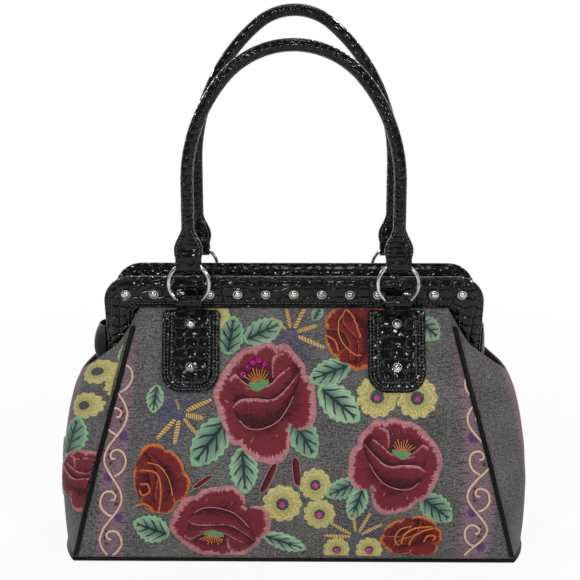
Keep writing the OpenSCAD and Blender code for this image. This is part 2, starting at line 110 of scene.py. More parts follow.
# shader maths: a socket that can be added, multiplied and compared
class Wire:
    def __init__(self, tree, socket):
        self.tree, self.socket = tree, socket

    def node(self, kind, settings=None, inputs=None, out=0):
        made = self.tree.nodes.new(kind)
        for key, value in (settings or {}).items():
            setattr(made, key, value)
        for key, value in (inputs or {}).items():
            if isinstance(value, Wire):
                self.tree.links.new(value.socket, made.inputs[key])
            else:
                made.inputs[key].default_value = value
        return Wire(self.tree, made.outputs[out])

    def math(self, operation, *others):
        return self.node("ShaderNodeMath", {"operation": operation}, dict(enumerate((self,) + others)))

    def __add__(self, other):
        return self.math("ADD", other)

    def __sub__(self, other):
        return self.math("SUBTRACT", other)

    def __mul__(self, other):
        return self.math("MULTIPLY", other)

    def __truediv__(self, other):
        return self.math("DIVIDE", other)

    def __rsub__(self, other):
        return self.node("ShaderNodeMath", {"operation": "SUBTRACT"}, {0: other, 1: self})

    def __abs__(self):
        return self.math("ABSOLUTE")

    __radd__ = __add__
    __rmul__ = __mul__

    def lower(self, other):
        return self.math("MINIMUM", other)

    def fract(self):
        return self.math("FRACT")

    def rise(self, low, high):
        return self.node("ShaderNodeMapRange", {"interpolation_type": "SMOOTHSTEP"}, {0: self, 1: low, 2: high})

    def pair(self, other, third=0.0):
        return self.node("ShaderNodeCombineXYZ", None, {0: self, 1: other, 2: third})

    def scaled(self, x, y, z=1.0):
        return self.node("ShaderNodeVectorMath", {"operation": "MULTIPLY"}, {0: self, 1: (x, y, z)})

    def axis(self, which):
        return self.node("ShaderNodeSeparateXYZ", None, {0: self}, which)

    def noise(self, scale, detail=2.0, rough=0.5):
        return self.node("ShaderNodeTexNoise", None, {"Vector": self, "Scale": scale, "Detail": detail, "Roughness": rough})

    def mix(self, first, second):
        return self.node("ShaderNodeMix", {"data_type": "RGBA"}, {0: self, 6: first, 7: second}, 2)

    def bump(self, strength, distance):
        return self.node("ShaderNodeBump", None, {"Height": self, "Strength": strength, "Distance": distance})


def newFinish(name, coords="Object", **fixed):
    finish = bpy.data.materials.new(name)
    finish.use_nodes = True
    tree = finish.node_tree
    shader = tree.nodes["Principled BSDF"]
    for key, value in fixed.items():
        shader.inputs[key.replace("_", " ")].default_value = value
    source = tree.nodes.new("ShaderNodeTexCoord")
    return finish, shader, Wire(tree, source.outputs[coords])


def feed(shader, **wires):
    for key, wire in wires.items():
        wire.tree.links.new(wire.socket, shader.inputs[key.replace("_", " ")])


def heatherCloth(name, leftEdge, rightEdge, clouds):
    # grey knit with horizontal slubs; uv is in metres, x across and y up
    finish, shader, uv = newFinish(name, "UV", Roughness=0.92, Sheen_Weight=0.12, Sheen_Roughness=0.6,
                                   Specular_IOR_Level=0.15)
    mm = uv.scaled(1000, 1000, 1000)
    x, z = mm.axis(0), mm.axis(1)
    slub = mm.scaled(0.16, 0.7).noise(1.0, 3.0, 0.7)
    fleck = mm.scaled(0.5, 0.8).noise(1.0, 2.0, 0.8)
    patchy = mm.scaled(0.02, 0.03).noise(1.0, 2.0)
    tone = slub * 0.42 + fleck * 0.78 + patchy * 0.18 - 0.19
    colour = tone.rise(0.34, 0.68).mix(srgb(37, 37, 37), srgb(118, 116, 115))
    ragged = mm.scaled(0.2, 1.1).noise(1.0, 2.0, 0.7)
    fromLeft = abs(x - (z * leftEdge[1] + leftEdge[0]))
    fromRight = abs(x - ((z * rightEdge[2] + rightEdge[1]) * z + rightEdge[0])) * 0.8
    away = fromLeft.lower(fromRight)
    border = (1 - (away + (ragged - 0.5) * 9).rise(10.0, 14.5)) * (1 - z.rise(190.0, 222.0))
    colour = (border * 0.75).mix(colour, tone.rise(0.25, 0.75).mix(srgb(82, 60, 72), srgb(150, 120, 134)))
    streak = (z * 0.105).fract().rise(0.0, 0.06) * (1 - (z * 0.105).fract().rise(0.1, 0.16))
    dashes = streak * away.rise(8.5, 9.5) * (1 - (away + (ragged - 0.5) * 6).rise(13.0, 15.0)) * (1 - z.rise(205.0, 215.0))
    colour = (dashes * 0.75).mix(colour, srgb(38, 26, 42))
    for cx, cz, reach in clouds:
        far = ((x - cx) * (x - cx) + (z - cz) * (z - cz)).math("SQRT")
        speck = (mm.scaled(0.14, 0.22).noise(1.0, 3.0, 0.65) - far * (0.2 / reach)).rise(0.36, 0.44)
        colour = (speck * 0.8).mix(colour, tone.rise(0.3, 0.7).mix(srgb(34, 36, 56), srgb(88, 90, 116)))
    weave = (x * 2.1).math("SINE") * (z * 2.6).math("SINE") * 0.25 + slub * 0.6 + fleck * 0.5
    feed(shader, Base_Color=colour, Normal=weave.bump(0.55, 0.0006))
    return finish


def crocPatent(name, coords, stretch, cell, deep):
    # glossy embossed scales; stretch turns the coordinates into millimetres
    finish, shader, at = newFinish(name, coords, Specular_IOR_Level=0.27)
    mm = at.scaled(*stretch)
    flat = mm.axis(0).pair(mm.axis(1 if coords == "UV" else 2))
    wander = flat.scaled(0.05, 0.05).noise(1.0, 2.0)
    bent = (flat.axis(0) + (wander - 0.5) * 6).pair(flat.axis(1) + (wander - 0.5) * 4)
    cells = bent.node("ShaderNodeTexVoronoi", {"feature": "DISTANCE_TO_EDGE", "voronoi_dimensions": "2D"},
                      {"Vector": bent.scaled(1 / cell, 1 / (cell * 0.86)), "Scale": 1.0, "Randomness": 0.42})
    scale = cells.rise(0.0, 0.14)
    dome = cells.rise(0.0, 0.5)
    grain = flat.noise(0.5, 3.0, 0.6)
    sway = flat.noise(0.13, 1.0)
    height = scale * 0.7 + dome * 0.3 + grain * 0.06 + sway * 0.9
    # the grooves between the scales get a slightly darker colour: painted shade in the recesses
    colour = scale.mix(srgb(3, 4, 4), srgb(9, 10, 10))
    gloss = 0.09 - scale * 0.05 + grain * 0.03
    feed(shader, Base_Color=colour, Roughness=gloss, Normal=height.bump(deep, 0.0012))
    return finish


def smoothPatent(name):
    finish, shader, at = newFinish(name, "Object", Specular_IOR_Level=0.12)
    grain = at.noise(900.0, 3.0, 0.6)
    crease = at.scaled(60, 60, 260).noise(1.0, 2.0)
    feed(shader, Base_Color=crease.mix(srgb(4, 5, 5), srgb(11, 12, 12)), Roughness=0.2 + grain * 0.22,
         Normal=(grain * 0.5 + crease).bump(0.35, 0.0006))
    return finish


def bagMetal(name, bright, dull, rough):
    finish, shader, at = newFinish(name, "Object", Metallic=1.0)
    tarnish = at.noise(120.0, 3.0, 0.65)
    scuff = at.scaled(1, 1, 4).noise(1400.0, 2.0)
    feed(shader, Base_Color=tarnish.rise(0.35, 0.75).mix(bright, dull), Roughness=rough + scuff * 0.12 + tarnish * 0.05,
         Normal=scuff.bump(0.08, 0.0002))
    return finish


def petalThread(name, dark, mid, rim, rimWide):
    # satin stitch: u counts the petal and runs along its rim, v runs from base to rim
    finish, shader, uv = newFinish(name, "UV", Roughness=0.7, Sheen_Weight=0.08, Sheen_Roughness=0.4, Specular_IOR_Level=0.2)
    u, v = uv.axis(0), uv.axis(1)
    at = uv.node("ShaderNodeTexCoord", out="Object")
    along = u.fract()
    thread = (u * 46.0).pair(v * 2.2).noise(1.0, 2.0, 0.6)
    jag = (u * 26.0).pair(v * 1.6).noise(1.0, 2.0, 0.8)
    rows = (at.axis(2) * (2000 * math.pi / 1.25) + at.scaled(300, 300, 300).noise(1.0)).math("SINE") * 0.5 + 0.5
    mottle = at.scaled(120, 120, 420).noise(1.0, 3.0, 0.65)
    edge = (1 - v).lower(along.lower(1 - along) * 2.6 + (1 - v) * 0.7)
    pink = 1 - (edge + (jag - 0.5) * 0.34).rise(rimWide * 0.75, rimWide * 1.05)
    seed = (u.math("FLOOR") * 0.37).fract()
    # darker towards each petal's base: partly the rose's own dark thread and mottling, partly painted shade where the
    # petals tuck under one another
    depth = (v + (thread - 0.5) * 0.4 + (mottle - 0.5) * 1.1 + seed * 0.2 - 0.1).rise(0.1, 0.66)
    tip = (mottle * 0.7 + thread * 0.5).rise(0.4, 0.75).mix(tuple(0.55 * part for part in rim[:3]) + (1,), rim)
    colour = pink.mix(depth.mix(dark, mid), tip)
    shade = (1 - thread.rise(0.3, 0.62)) * 0.2 + (1 - rows) * 0.24
    colour = shade.mix(colour, srgb(34, 10, 17))
    feed(shader, Base_Color=colour, Normal=(thread * 0.6 + rows * 0.5).bump(0.6, 0.0006))
    return finish


def leafThread(name):
    finish, shader, uv = newFinish(name, "UV", Roughness=0.65, Sheen_Weight=0.2, Sheen_Roughness=0.4, Specular_IOR_Level=0.3)
    u, v = uv.axis(0), uv.axis(1)
    along, across = u.fract(), abs(v - 0.5) * 2
    thread = (u * 30.0 - across * 9).pair(v * 3.0).noise(1.0, 2.0, 0.6)
    seed = (u.math("FLOOR") * 0.41).fract()
    edge = (1 - across).lower((1 - along) * 1.4).lower(along * 2.2)
    rim = 1 - (edge + (thread - 0.5) * 0.15).rise(0.12, 0.2)
    midrib = 1 - (across + (thread - 0.5) * 0.14).rise(0.07, 0.15)
    ribs = abs((along * 4.4 - across * 1.25 + (thread - 0.5) * 0.3).fract() - 0.5)
    veins = (1 - (ribs + across * 0.06).rise(0.09, 0.2)) * (1 - across.rise(0.6, 0.84))
    inner = (1 - across.rise(0.15, 0.7)) * (1 - along.rise(0.45, 0.95))
    body = (thread * 0.8 + seed * 0.25).rise(0.3, 0.8).mix(srgb(98, 132, 112), srgb(156, 180, 150))
    body = (inner * 0.75).mix(body, srgb(44, 80, 74))
    colour = (veins.math("MAXIMUM", midrib) * 0.95).mix(body, srgb(10, 34, 33))
    colour = (rim * 0.85).mix(colour, srgb(126, 178, 122))
    feed(shader, Base_Color=colour, Normal=(thread + veins * -0.5 + rim * 0.4).bump(0.55, 0.0006))
    return finish


def discThread(name, light, deep, ring):
    # u runs round the flower, v from its middle to its rim
    finish, shader, uv = newFinish(name, "UV", Roughness=0.68, Sheen_Weight=0.2, Sheen_Roughness=0.4, Specular_IOR_Level=0.3)
    u, v = uv.axis(0), uv.axis(1)
    thread = (u * 60.0).pair(v * 9.0).noise(1.0, 2.0, 0.7)
    knots = (u * 30.0).pair(v * 11.0).noise(1.0, 2.0)
    hollow = (v + (knots - 0.5) * 0.25).rise(0.3, 0.42) * (1 - (v + (knots - 0.5) * 0.2).rise(0.5, 0.66))
    colour = thread.rise(0.32, 0.66).mix(deep, light)
    colour = (hollow * 0.45).mix(colour, ring)
    colour = (1 - v.rise(0.3, 0.37)).mix(colour, knots.rise(0.3, 0.7).mix(srgb(18, 20, 26), srgb(84, 92, 94)))
    feed(shader, Base_Color=colour, Normal=(thread * 0.7 + knots * 0.6).bump(0.7, 0.0007))
    return finish


def twistThread(name, light, dark, turns):
    # u runs along the thread, v across it
    finish, shader, uv = newFinish(name, "UV", Roughness=0.5, Sheen_Weight=0.2, Sheen_Roughness=0.4, Specular_IOR_Level=0.35)
    u, v = uv.axis(0), uv.axis(1)
    twist = (u * turns + v * 0.8).fract()
    # the grooves between the twists are coloured dark: painted shade in the recesses, while the fuzz adds the thread's
    # own random tone
    groove = 1 - abs(twist - 0.5).rise(0.1, 0.26)
    fuzz = (u * 60.0).pair(v * 8.0).noise(1.0, 2.0)
    colour = (groove * 0.8 + fuzz * 0.3 - 0.1).mix(light, dark)
    feed(shader, Base_Color=colour, Normal=(abs(twist - 0.5) * 2 + fuzz * 0.3).bump(0.8, 0.0008))
    return finish


def plainThread(name, light, dark, scale=1500.0):
    finish, shader, at = newFinish(name, "Object", Roughness=0.6, Sheen_Weight=0.15, Specular_IOR_Level=0.3)
    fuzz = at.noise(scale, 2.0, 0.6)
    feed(shader, Base_Color=fuzz.rise(0.3, 0.7).mix(dark, light), Normal=fuzz.bump(0.6, 0.0004))
    return finish


def liningCloth(name):
    finish, shader, at = newFinish(name, "Object", Roughness=0.8, Sheen_Weight=0.1, Specular_IOR_Level=0.2)
    weave = (at.axis(0) * 4200).math("SINE") * (at.axis(2) * 4200).math("SINE")
    blur = at.noise(40.0, 3.0)
    feed(shader, Base_Color=(blur * 0.7 + weave * 0.15).rise(0.1, 0.8).mix(srgb(16, 16, 17), srgb(40, 40, 42)),
         Normal=(weave * 0.3 + blur).bump(0.4, 0.0006))
    return finish


def gemGlass(name):
    finish, shader, at = newFinish(name, "Object", Roughness=0.06, IOR=1.6, Specular_IOR_Level=0.5)
    fire = at.noise(700.0, 1.0)
    feed(shader, Base_Color=fire.rise(0.35, 0.65).mix(srgb(92, 6, 70), srgb(186, 30, 140)))
    return finish


def boardFinish(name):
    finish, shader, at = newFinish(name, "Object", Roughness=0.85)
    fibre = at.scaled(1, 5, 1).noise(260.0, 3.0)
    feed(shader, Base_Color=fibre.mix(srgb(70, 66, 60), srgb(104, 98, 90)), Normal=fibre.bump(0.3, 0.0005))
    return finish


# middle lines of the borders: x = a + (b + c z) z
border = {"left": (-170.5, 0.0675, 0.0), "right": (163.3, 0.1503, -0.000783)}
clouds = [(-110, 136, 34), (0, 203, 26), (66, 28, 30)]
finishes = {
    "front": heatherCloth("heatherFront", border["left"], border["right"], clouds),
    "plain": heatherCloth("heatherPlain", border["left"], border["right"], []),
    "side": heatherCloth("heatherSide", (0.0, 0.0), (0.0, 0.01, 0.0), []),
    "crocFlat": crocPatent("crocFlat", "Object", (1000, 1000, 1000), 10.5, 0.9),
    "crocTube": crocPatent("crocTube", "UV", (36, 620, 1), 9.0, 0.5),
    "black": smoothPatent("blackPatent"),
    "nickel": bagMetal("studNickel", srgb(206, 203, 198), srgb(128, 125, 122), 0.08),
    "steel": bagMetal("barSteel", srgb(160, 160, 160), srgb(110, 110, 112), 0.3),
    # each petal thread's first colour is its dark base, partly the thread's own colour and partly painted shade under
    # the overlapping petals
    "rose": petalThread("dustyRose", srgb(60, 14, 24), srgb(118, 36, 47), srgb(202, 136, 141), 0.18),
    "amber": petalThread("amberRose", srgb(62, 14, 22), srgb(118, 32, 36), srgb(220, 124, 58), 0.13),
    "bud": petalThread("budThread", srgb(54, 13, 22), srgb(96, 28, 38), srgb(178, 108, 112), 0.1),
    "leaf": leafThread("leafThread"),
    "blossom": discThread("blossomThread", srgb(200, 190, 126), srgb(138, 128, 72), srgb(132, 130, 66)),
    "violet": discThread("violetThread", srgb(112, 70, 132), srgb(70, 40, 92), srgb(52, 28, 74)),
    # goldTwist's dark colour is painted shade in the grooves of its twist
    "ray": twistThread("goldTwist", srgb(214, 174, 98), srgb(70, 44, 28), 9.0),
    "cream": plainThread("creamThread", srgb(228, 200, 172), srgb(176, 142, 118)),
    "maroon": plainThread("maroonThread", srgb(96, 28, 52), srgb(58, 14, 30)),
    "gold": plainThread("goldThread", srgb(226, 158, 74), srgb(168, 96, 40)),
    "flame": plainThread("flameThread", srgb(222, 122, 44), srgb(150, 64, 24)),
    "pink": plainThread("pinkThread", srgb(208, 138, 150), srgb(150, 80, 96)),
    "green": plainThread("stemThread", srgb(110, 160, 104), srgb(40, 84, 56)),
    "sewing": plainThread("sewingThread", srgb(122, 124, 122), srgb(74, 76, 75)),
    "lining": liningCloth("blackLining"),
    "gem": gemGlass("magentaGem"),
    "board": boardFinish("baseBoard"),
}
print("satchel: finishes ready")


def clearSelection():
    if bpy.context.mode != "OBJECT":
        bpy.ops.object.mode_set(mode="OBJECT")
    bpy.ops.object.select_all(action="DESELECT")


def finishPiece(piece, name, material):
    piece.name = name
    piece.data.name = name
    piece.data.materials.clear()
    piece.data.materials.append(finishes[material])
    return piece


def gridSheet(name, material, nu, nv, place, closed=False, uvPlace=None):
    # a grid primitive whose corners are laid on a surface
    clearSelection()
    bpy.ops.mesh.primitive_grid_add(x_subdivisions=nu, y_subdivisions=nv, size=1)
    piece = finishPiece(bpy.context.object, name, material)
    at = [(vert.co.x + 0.5, vert.co.y + 0.5) for vert in piece.data.vertices]
    for vert, (u, v) in zip(piece.data.vertices, at):
        vert.co = place(u, v)
    if uvPlace:
        layer = piece.data.uv_layers.active.data
        for loop in piece.data.loops:
            layer[loop.index].uv = uvPlace(*at[loop.vertex_index])
    if closed:
        bpy.ops.object.mode_set(mode="EDIT")
        bpy.ops.mesh.select_all(action="SELECT")
        bpy.ops.mesh.remove_doubles(threshold=0.00002)
        bpy.ops.object.mode_set(mode="OBJECT")
    bpy.ops.object.shade_smooth()
    return piece


def pick(piece):
    clearSelection()
    piece.select_set(True)
    bpy.context.view_layer.objects.active = piece


def copyPiece(piece):
    twin = piece.copy()
    twin.data = piece.data.copy()
    scene.collection.objects.link(twin)
    return twin


def applyModifier(piece, kind, **settings):
    pick(piece)
    modifier = piece.modifiers.new(kind.lower(), kind)
    for key, value in settings.items():
        setattr(modifier, key, value)
    bpy.ops.object.modifier_apply(modifier=modifier.name)


def mirrorCopy(piece, name, axis):
    # own mesh, turned over and its faces put right
    twin = copyPiece(piece)
    twin.name = twin.data.name = name
    twin.data.transform(Matrix.Scale(-1, 4, axis))
    twin.data.flip_normals()
    return twin


def joinPieces(parts, name, material):
    clearSelection()
    for part in parts:
        part.select_set(True)
    bpy.context.view_layer.objects.active = parts[0]
    if len(parts) > 1:
        bpy.ops.object.join()
    piece = finishPiece(bpy.context.object, name, material)
    bpy.ops.object.shade_smooth()
    return piece


def cordMesh(name, material, lines, radius, closed=False, sides=2):
    # thin round threads and cords along lists of points
    curve = bpy.data.curves.new(name, "CURVE")
    curve.dimensions = "3D"
    curve.bevel_depth = radius
    curve.bevel_resolution = sides
    curve.use_fill_caps = not closed
    for line in lines:
        spline = curve.splines.new("POLY")
        spline.points.add(len(line) - 1)
        spline.use_cyclic_u = closed
        spline.use_smooth = True
        for point, spot in zip(spline.points, line):
            point.co = (*spot, 1)
    cord = bpy.data.objects.new(name, curve)
    scene.collection.objects.link(cord)
    pick(cord)
    bpy.ops.object.convert(target="MESH")
    return finishPiece(bpy.context.object, name, material)


def settle(piece, pinned, slack, cap, steps):
    # a short cloth run that lets the slack of the cloth fall into soft folds
    before = [vert.co.copy() for vert in piece.data.vertices]
    group = piece.vertex_groups.new(name="pinned")
    group.add([i for i, co in enumerate(before) if pinned(i, co)], 1.0, "REPLACE")
    cloth = piece.modifiers.new("settle", "CLOTH")
    cloth.settings.quality = 4
    cloth.settings.mass = 0.2
    cloth.settings.vertex_group_mass = "pinned"
    cloth.settings.shrink_min = -slack
    cloth.settings.tension_stiffness = cloth.settings.compression_stiffness = 12
    cloth.settings.bending_stiffness = 3.0
    cloth.settings.use_pressure = True
    cloth.settings.uniform_pressure_force = 0.4
    cloth.settings.effector_weights.gravity = 0.35
    cloth.collision_settings.use_collision = False
    for step in range(1, steps + 1):
        scene.frame_set(step)
    pick(piece)
    bpy.ops.object.modifier_apply(modifier="settle")
    scene.frame_set(1)
    piece.vertex_groups.clear()
    for vert, start in zip(piece.data.vertices, before):
        move = vert.co - start
        if move.length > cap:
            vert.co = start + move * (cap / move.length)


# cloth body
cloth = {"across": 120, "up": 72, "thick": 0.0016, "slack": 0.012, "cap": 0.0035, "steps": 16,
         "pinX": 0.0945, "pinHalf": 0.027, "pinFoot": 0.152,
         "foldStart": (0, 0, 0.2), "foldEnd": (0, -0.0213, 0.2118)}
foldRearEnd = (0, -cloth["foldEnd"][1], cloth["foldEnd"][2])


def panelSpot(u, v):
    z = bag["footZ"] - 1.5 + (topZ + 1.5 - bag["footZ"]) * v
    x = (2 * u - 1) * (seamX(z) - 0.4)
    return x, z


def panelPlace(u, v):
    x, z = panelSpot(u, v)
    edge = min(1, min(u, 1 - u) * 9) * min(1, v * 7) * min(1, (1 - v) * 9)
    fold = noise.noise(Vector((x / 60, 3.1, z / 38))) * 1.6 + noise.noise(Vector((x / 22, 8.2, z / 60))) * 0.5
    return metres(x, -panelY(x, z) - fold * edge, z)


def panelUv(u, v):
    x, z = panelSpot(u, v)
    return x / 1000, z / 1000


def makePanel(name, material):
    piece = gridSheet(name, material, cloth["across"], cloth["up"], panelPlace, uvPlace=panelUv)
    nu, nv = cloth["across"] + 1, cloth["up"] + 1

    def pinned(i, co):
        # seams and the cloth under the tabs stay put
        if i % nu in (0, nu - 1) or i // nu in (0, 1, nv - 2, nv - 1):
            return True
        return abs(abs(co.x) - cloth["pinX"]) < cloth["pinHalf"] and co.z > cloth["pinFoot"]

    settle(piece, pinned, cloth["slack"], cloth["cap"], cloth["steps"])
    applyModifier(piece, "SOLIDIFY", thickness=cloth["thick"], offset=-1)
    return piece


frontCloth = makePanel("front_cloth", "front")
rearCloth = mirrorCopy(frontCloth, "rear_cloth", (0, 1, 0))
finishPiece(rearCloth, "rear_cloth", "plain")
frontTree = BVHTree.FromObject(frontCloth, bpy.context.evaluated_depsgraph_get())
print("satchel: panels sewn")


def gussetPlace(u, v):
    # half a gusset on the right side, u from the middle fold to the front seam
    e = 1 - (1 - u) ** 1.4
    top = gussetTop(e) + (topZ - 2 - bag["tipZ"]) * smooth((e - 0.86) / 0.12)
    z = bag["footZ"] - 1.5 + (top - bag["footZ"] + 1.5) * v
    y = e * (seamY(z) - 0.6)
    fold = noise.noise(Vector((2.7, y / 26, z / 70))) * 2.2 + noise.noise(Vector((9.1, y / 60, z / 24))) * 0.9
    edge = min(1, (1 - u) * 8) * min(1, v * 8) * min(1, (1 - v) * 10)
    dent = 1.6 * math.exp(-(e / 0.12) ** 2) * math.sin(math.pi * min(1, v * 1.05))
    x = seamX(z) + swell(z) * (1 - e ** 3) + fold * edge * (1 - math.exp(-(u / 0.12) ** 2)) - dent
    return metres(x, -y, z)


def gussetUv(u, v):
    spot = gussetPlace(u, v)
    return 0.045 - 0.115 * (1 - (1 - u) ** 1.2), spot.z


gussets = {}
rightFront = gridSheet("right_gusset_front", "side", 40, 60, lambda u, v: gussetPlace(1 - u, v),
                       uvPlace=lambda u, v: gussetUv(1 - u, v))
applyModifier(rightFront, "SOLIDIFY", thickness=cloth["thick"], offset=-1)
gussets["right_front"] = rightFront
gussets["right_rear"] = mirrorCopy(rightFront, "right_gusset_rear", (0, 1, 0))
gussets["left_front"] = mirrorCopy(rightFront, "left_gusset_front", (1, 0, 0))
gussets["left_rear"] = mirrorCopy(gussets["right_rear"], "left_gusset_rear", (1, 0, 0))
leftTree = BVHTree.FromObject(gussets["left_front"], bpy.context.evaluated_depsgraph_get())
print("satchel: gussets sewn")

# black folds between the frame legs
insert = {"left": 15.0, "right": 5.0, "foot": 164.0, "head": 210.0, "legX": 175.0, "thick": 0.0012}


def insertPlace(puff, u, v):
    z = insert["foot"] + (insert["head"] - insert["foot"]) * v
    half = bag["bandMid"] * math.cos(tilt) + (z - bag["hingeZ"]) * math.tan(tilt) - 1
    puffed = puff * (0.35 + 0.65 * math.sin(math.pi * (0.12 + 0.78 * (1 - v))))
    crease = 0.5 * math.sin(v * 17 + u * 3) * u * (1 - u)
    x = insert["legX"] + bag["gap"] + bag["wall"] + puffed * (1 - u * u) + crease
    return metres(x, -u * half, z)


inserts = {}
for hand, sign in (("left", -1), ("right", 1)):
    half = gridSheet(hand + "_insert_front", "black", 16, 24, lambda u, v: insertPlace(insert[hand], 1 - u, v))
    applyModifier(half, "SOLIDIFY", thickness=insert["thick"], offset=-1)
    if sign < 0:
        half.data.transform(Matrix.Scale(-1, 4, (1, 0, 0)))
        half.data.flip_normals()
    inserts[hand, "front"] = half
    inserts[hand, "rear"] = mirrorCopy(half, hand + "_insert_rear", (0, 1, 0))
print("satchel: side folds made")

# lining, front and rear halves
lining = {"in": 3.6, "slack": 4.8, "thick": 0.0008, "frontShare": 0.62, "midTop": 150.0, "floorY": 69.5}


def liningPlace(u, v):
    # u runs from the left gusset's middle along the front to the right gusset's middle
    floorZ = bag["footZ"] + 0.5
    share, tip = lining["frontShare"], bag["tipZ"] - 4
    t = 2 * u - 1
    if abs(t) < share:
        k = t / share
        rim = topZ - 3
        top = rim - (rim - tip) * max(0, (abs(k) - 0.75) / 0.25)
        z = floorZ + (top - floorZ) * v
        x = k * (seamX(z) - lining["in"])
        # the middle hangs clear of the settled cloth
        clear = lining["in"] + lining["slack"] * smooth((1 - abs(k)) * 6) * smooth((1 - v) * 5) * smooth(v * 8)
        return metres(x, clear - panelY(x, z), z)
    e = 1 - (abs(t) - share) / (1 - share)
    z = floorZ + (lining["midTop"] + (tip - lining["midTop"]) * e ** 2.5 - floorZ) * v
    x = seamX(z) + swell(z) * (1 - e ** 3) - lining["in"]
    return metres(math.copysign(x, t), -e * (seamY(z) - lining["in"]), z)


def floorPlace(u, v):
    x = (2 * u - 1) * (seamX(6) + swell(6) * (1 - abs(2 * v - 1) ** 3) - 4.5)
    wave = 0.25 * math.sin(u * 19) * math.sin(v * 9)
    return metres(x, (2 * v - 1) * lining["floorY"], bag["footZ"] + 1.4 + wave)


frontLining = gridSheet("front_lining", "lining", 96, 40, lambda u, v: liningPlace(1 - u, v))
applyModifier(frontLining, "SOLIDIFY", thickness=lining["thick"], offset=0)
rearLining = mirrorCopy(frontLining, "rear_lining", (0, 1, 0))
liningFloor = gridSheet("lining_floor", "lining", 40, 16, floorPlace)
applyModifier(liningFloor, "SOLIDIFY", thickness=lining["thick"], offset=0)
print("satchel: lining made")

# pipings
piping = {"side": 2.3, "base": 1.9}
foot, head = bag["footZ"] + 2.5, topZ - 16


def pipingLine():
    line = []
    for i in range(67):
        z = foot + (head - foot) * i / 66
        wave = 0.35 * noise.noise(Vector((z / 30, 4.4, 1.0)))
        line.append(metres(seamX(z) + 0.6 + wave, -seamY(z) - 1, z))
    return line


pipings = {}
pipings["front_right"] = cordMesh("front_right_cord", "black", [pipingLine()], piping["side"] / 1000, sides=4)
pipings["front_left"] = mirrorCopy(pipings["front_right"], "front_left_cord", (1, 0, 0))
pipings["rear_right"] = mirrorCopy(pipings["front_right"], "rear_right_cord", (0, 1, 0))
pipings["rear_left"] = mirrorCopy(pipings["front_left"], "rear_left_cord", (0, 1, 0))


def groundLine():
    line = []
    for side in (1, -1):
        for i in range(40):
            u = side * (i / 20 - 1)
            line.append(metres(side * (seamX(0) + swell(0) * (1 - abs(u) ** 3)), u * bag["baseD"] / 2, piping["base"] + 0.1))
        for i in range(24):
            x = side * (seamX(0) * (1 - 2 * i / 24))
            line.append(metres(x, side * bag["baseD"] / 2, piping["base"] + 0.1))
    return line


basePiping = cordMesh("base_cord", "black", [groundLine()], piping["base"] / 1000, closed=True, sides=4)
print("satchel: pipings made")

# frame bands
band = {"w": 350.0, "h": 116.0, "top": 31.0, "leg": 27.0, "mid": 6.0, "edge": 2.9, "pad": 2.6,
        "r": 26.0, "inR": 8.0, "foot": 12.0, "stitch": 3.2, "steps": (40, 16, 150)}


def bandRails():
    hw, top = band["w"] / 2, band["h"]
    hole, under = hw - band["leg"], top - band["top"]
    rails = []
    legs, turns, across = band["steps"]
    for i in range(legs):
        t = i / legs
        rails.append(((-hw, band["foot"] + (top - band["r"] - band["foot"]) * t),
                      (-hole, band["foot"] + (under - band["inR"] - band["foot"]) * t)))
    for i in range(turns):
        a = math.pi - math.pi / 2 * i / turns
        rails.append(((-hw + band["r"] + band["r"] * math.cos(a), top - band["r"] + band["r"] * math.sin(a)),
                      (-hole + band["inR"] + band["inR"] * math.cos(a), under - band["inR"] + band["inR"] * math.sin(a))))
    for i in range(across + 1):
        t = 2 * i / across - 1
        rails.append((((hw - band["r"]) * t, top), ((hole - band["inR"]) * t, under)))
    left = rails[:legs + turns]
    return rails + [((-o[0], o[1]), (-p[0], p[1])) for o, p in reversed(left)]


rails = bandRails()


def leaned(x, y, z):
    return metres(x, y * math.cos(tilt) - z * math.sin(tilt),
                  bag["hingeZ"] + y * math.sin(tilt) + z * math.cos(tilt))


def bandThick(d):
    puff = band["pad"] * smooth((d - 2.6) / 5.5)
    groove = 0.5 * math.exp(-((d - band["stitch"]) / 0.8) ** 2)
    return band["edge"] * rounded(d / 1.8) + puff - groove


def bandSpot(i, a, front=True):
    (ox, oz), (px, pz) = rails[i]
    wide = math.hypot(ox - px, oz - pz)
    d = min(a, 1 - a) * wide
    last = min(i, len(rails) - 1 - i) * 2.0
    taper = rounded(last / 5)
    x, z = px + (ox - px) * a, pz + (oz - pz) * a
    puff = 0.35 * noise.noise(Vector((x / 17, 2.0, z / 17))) * smooth((d - 4) / 4)
    t = (bandThick(d) + puff) * taper
    return leaned(x, -band["mid"] - (t if front else -t), z)


def bandPlace(u, v):
    i = round(u * (len(rails) - 1))
    a = (1 - math.cos(math.pi * min(v, 1 - v) * 2)) / 2
    return bandSpot(i, a, v <= 0.5)


frontBand = gridSheet("front_band_cover", "crocFlat", len(rails) - 1, 44, bandPlace, closed=True)
rearBand = mirrorCopy(frontBand, "rear_band_cover", (0, 1, 0))


def sewRow(name, marks, length, wide):
    # one small stitch, copied along the marks
    clearSelection()
    bpy.ops.mesh.primitive_ico_sphere_add(subdivisions=1, radius=1)
    row = bpy.context.object
    corners = [vert.co.copy() for vert in row.data.vertices]
    faces = [tuple(face.vertices) for face in row.data.polygons]
    verts, polys = [], []
    for spot, along, out in marks:
        side = out.cross(along)
        base = len(verts)
        verts += [spot + along * (c.x * length) + side * (c.y * wide) + out * (c.z * wide * 0.7) for c in corners]
        polys += [tuple(base + k for k in face) for face in faces]
    mesh = bpy.data.meshes.new(name)
    mesh.from_pydata(verts, [], polys)
    row.data = mesh
    finishPiece(row, name, "sewing")
    bpy.ops.object.shade_smooth()
    return row


def alongLine(points, outs, gap):
    # stitch marks at even gaps along a line of points
    marks, left = [], 0.0
    for a, b, out in zip(points, points[1:], outs):
        step = (b - a).length
        if step < 1e-7:
            continue
        way = (b - a) / step
        while left <= step:
            marks.append((a + way * left, way, out))
            left += gap
        left -= step
    return marks


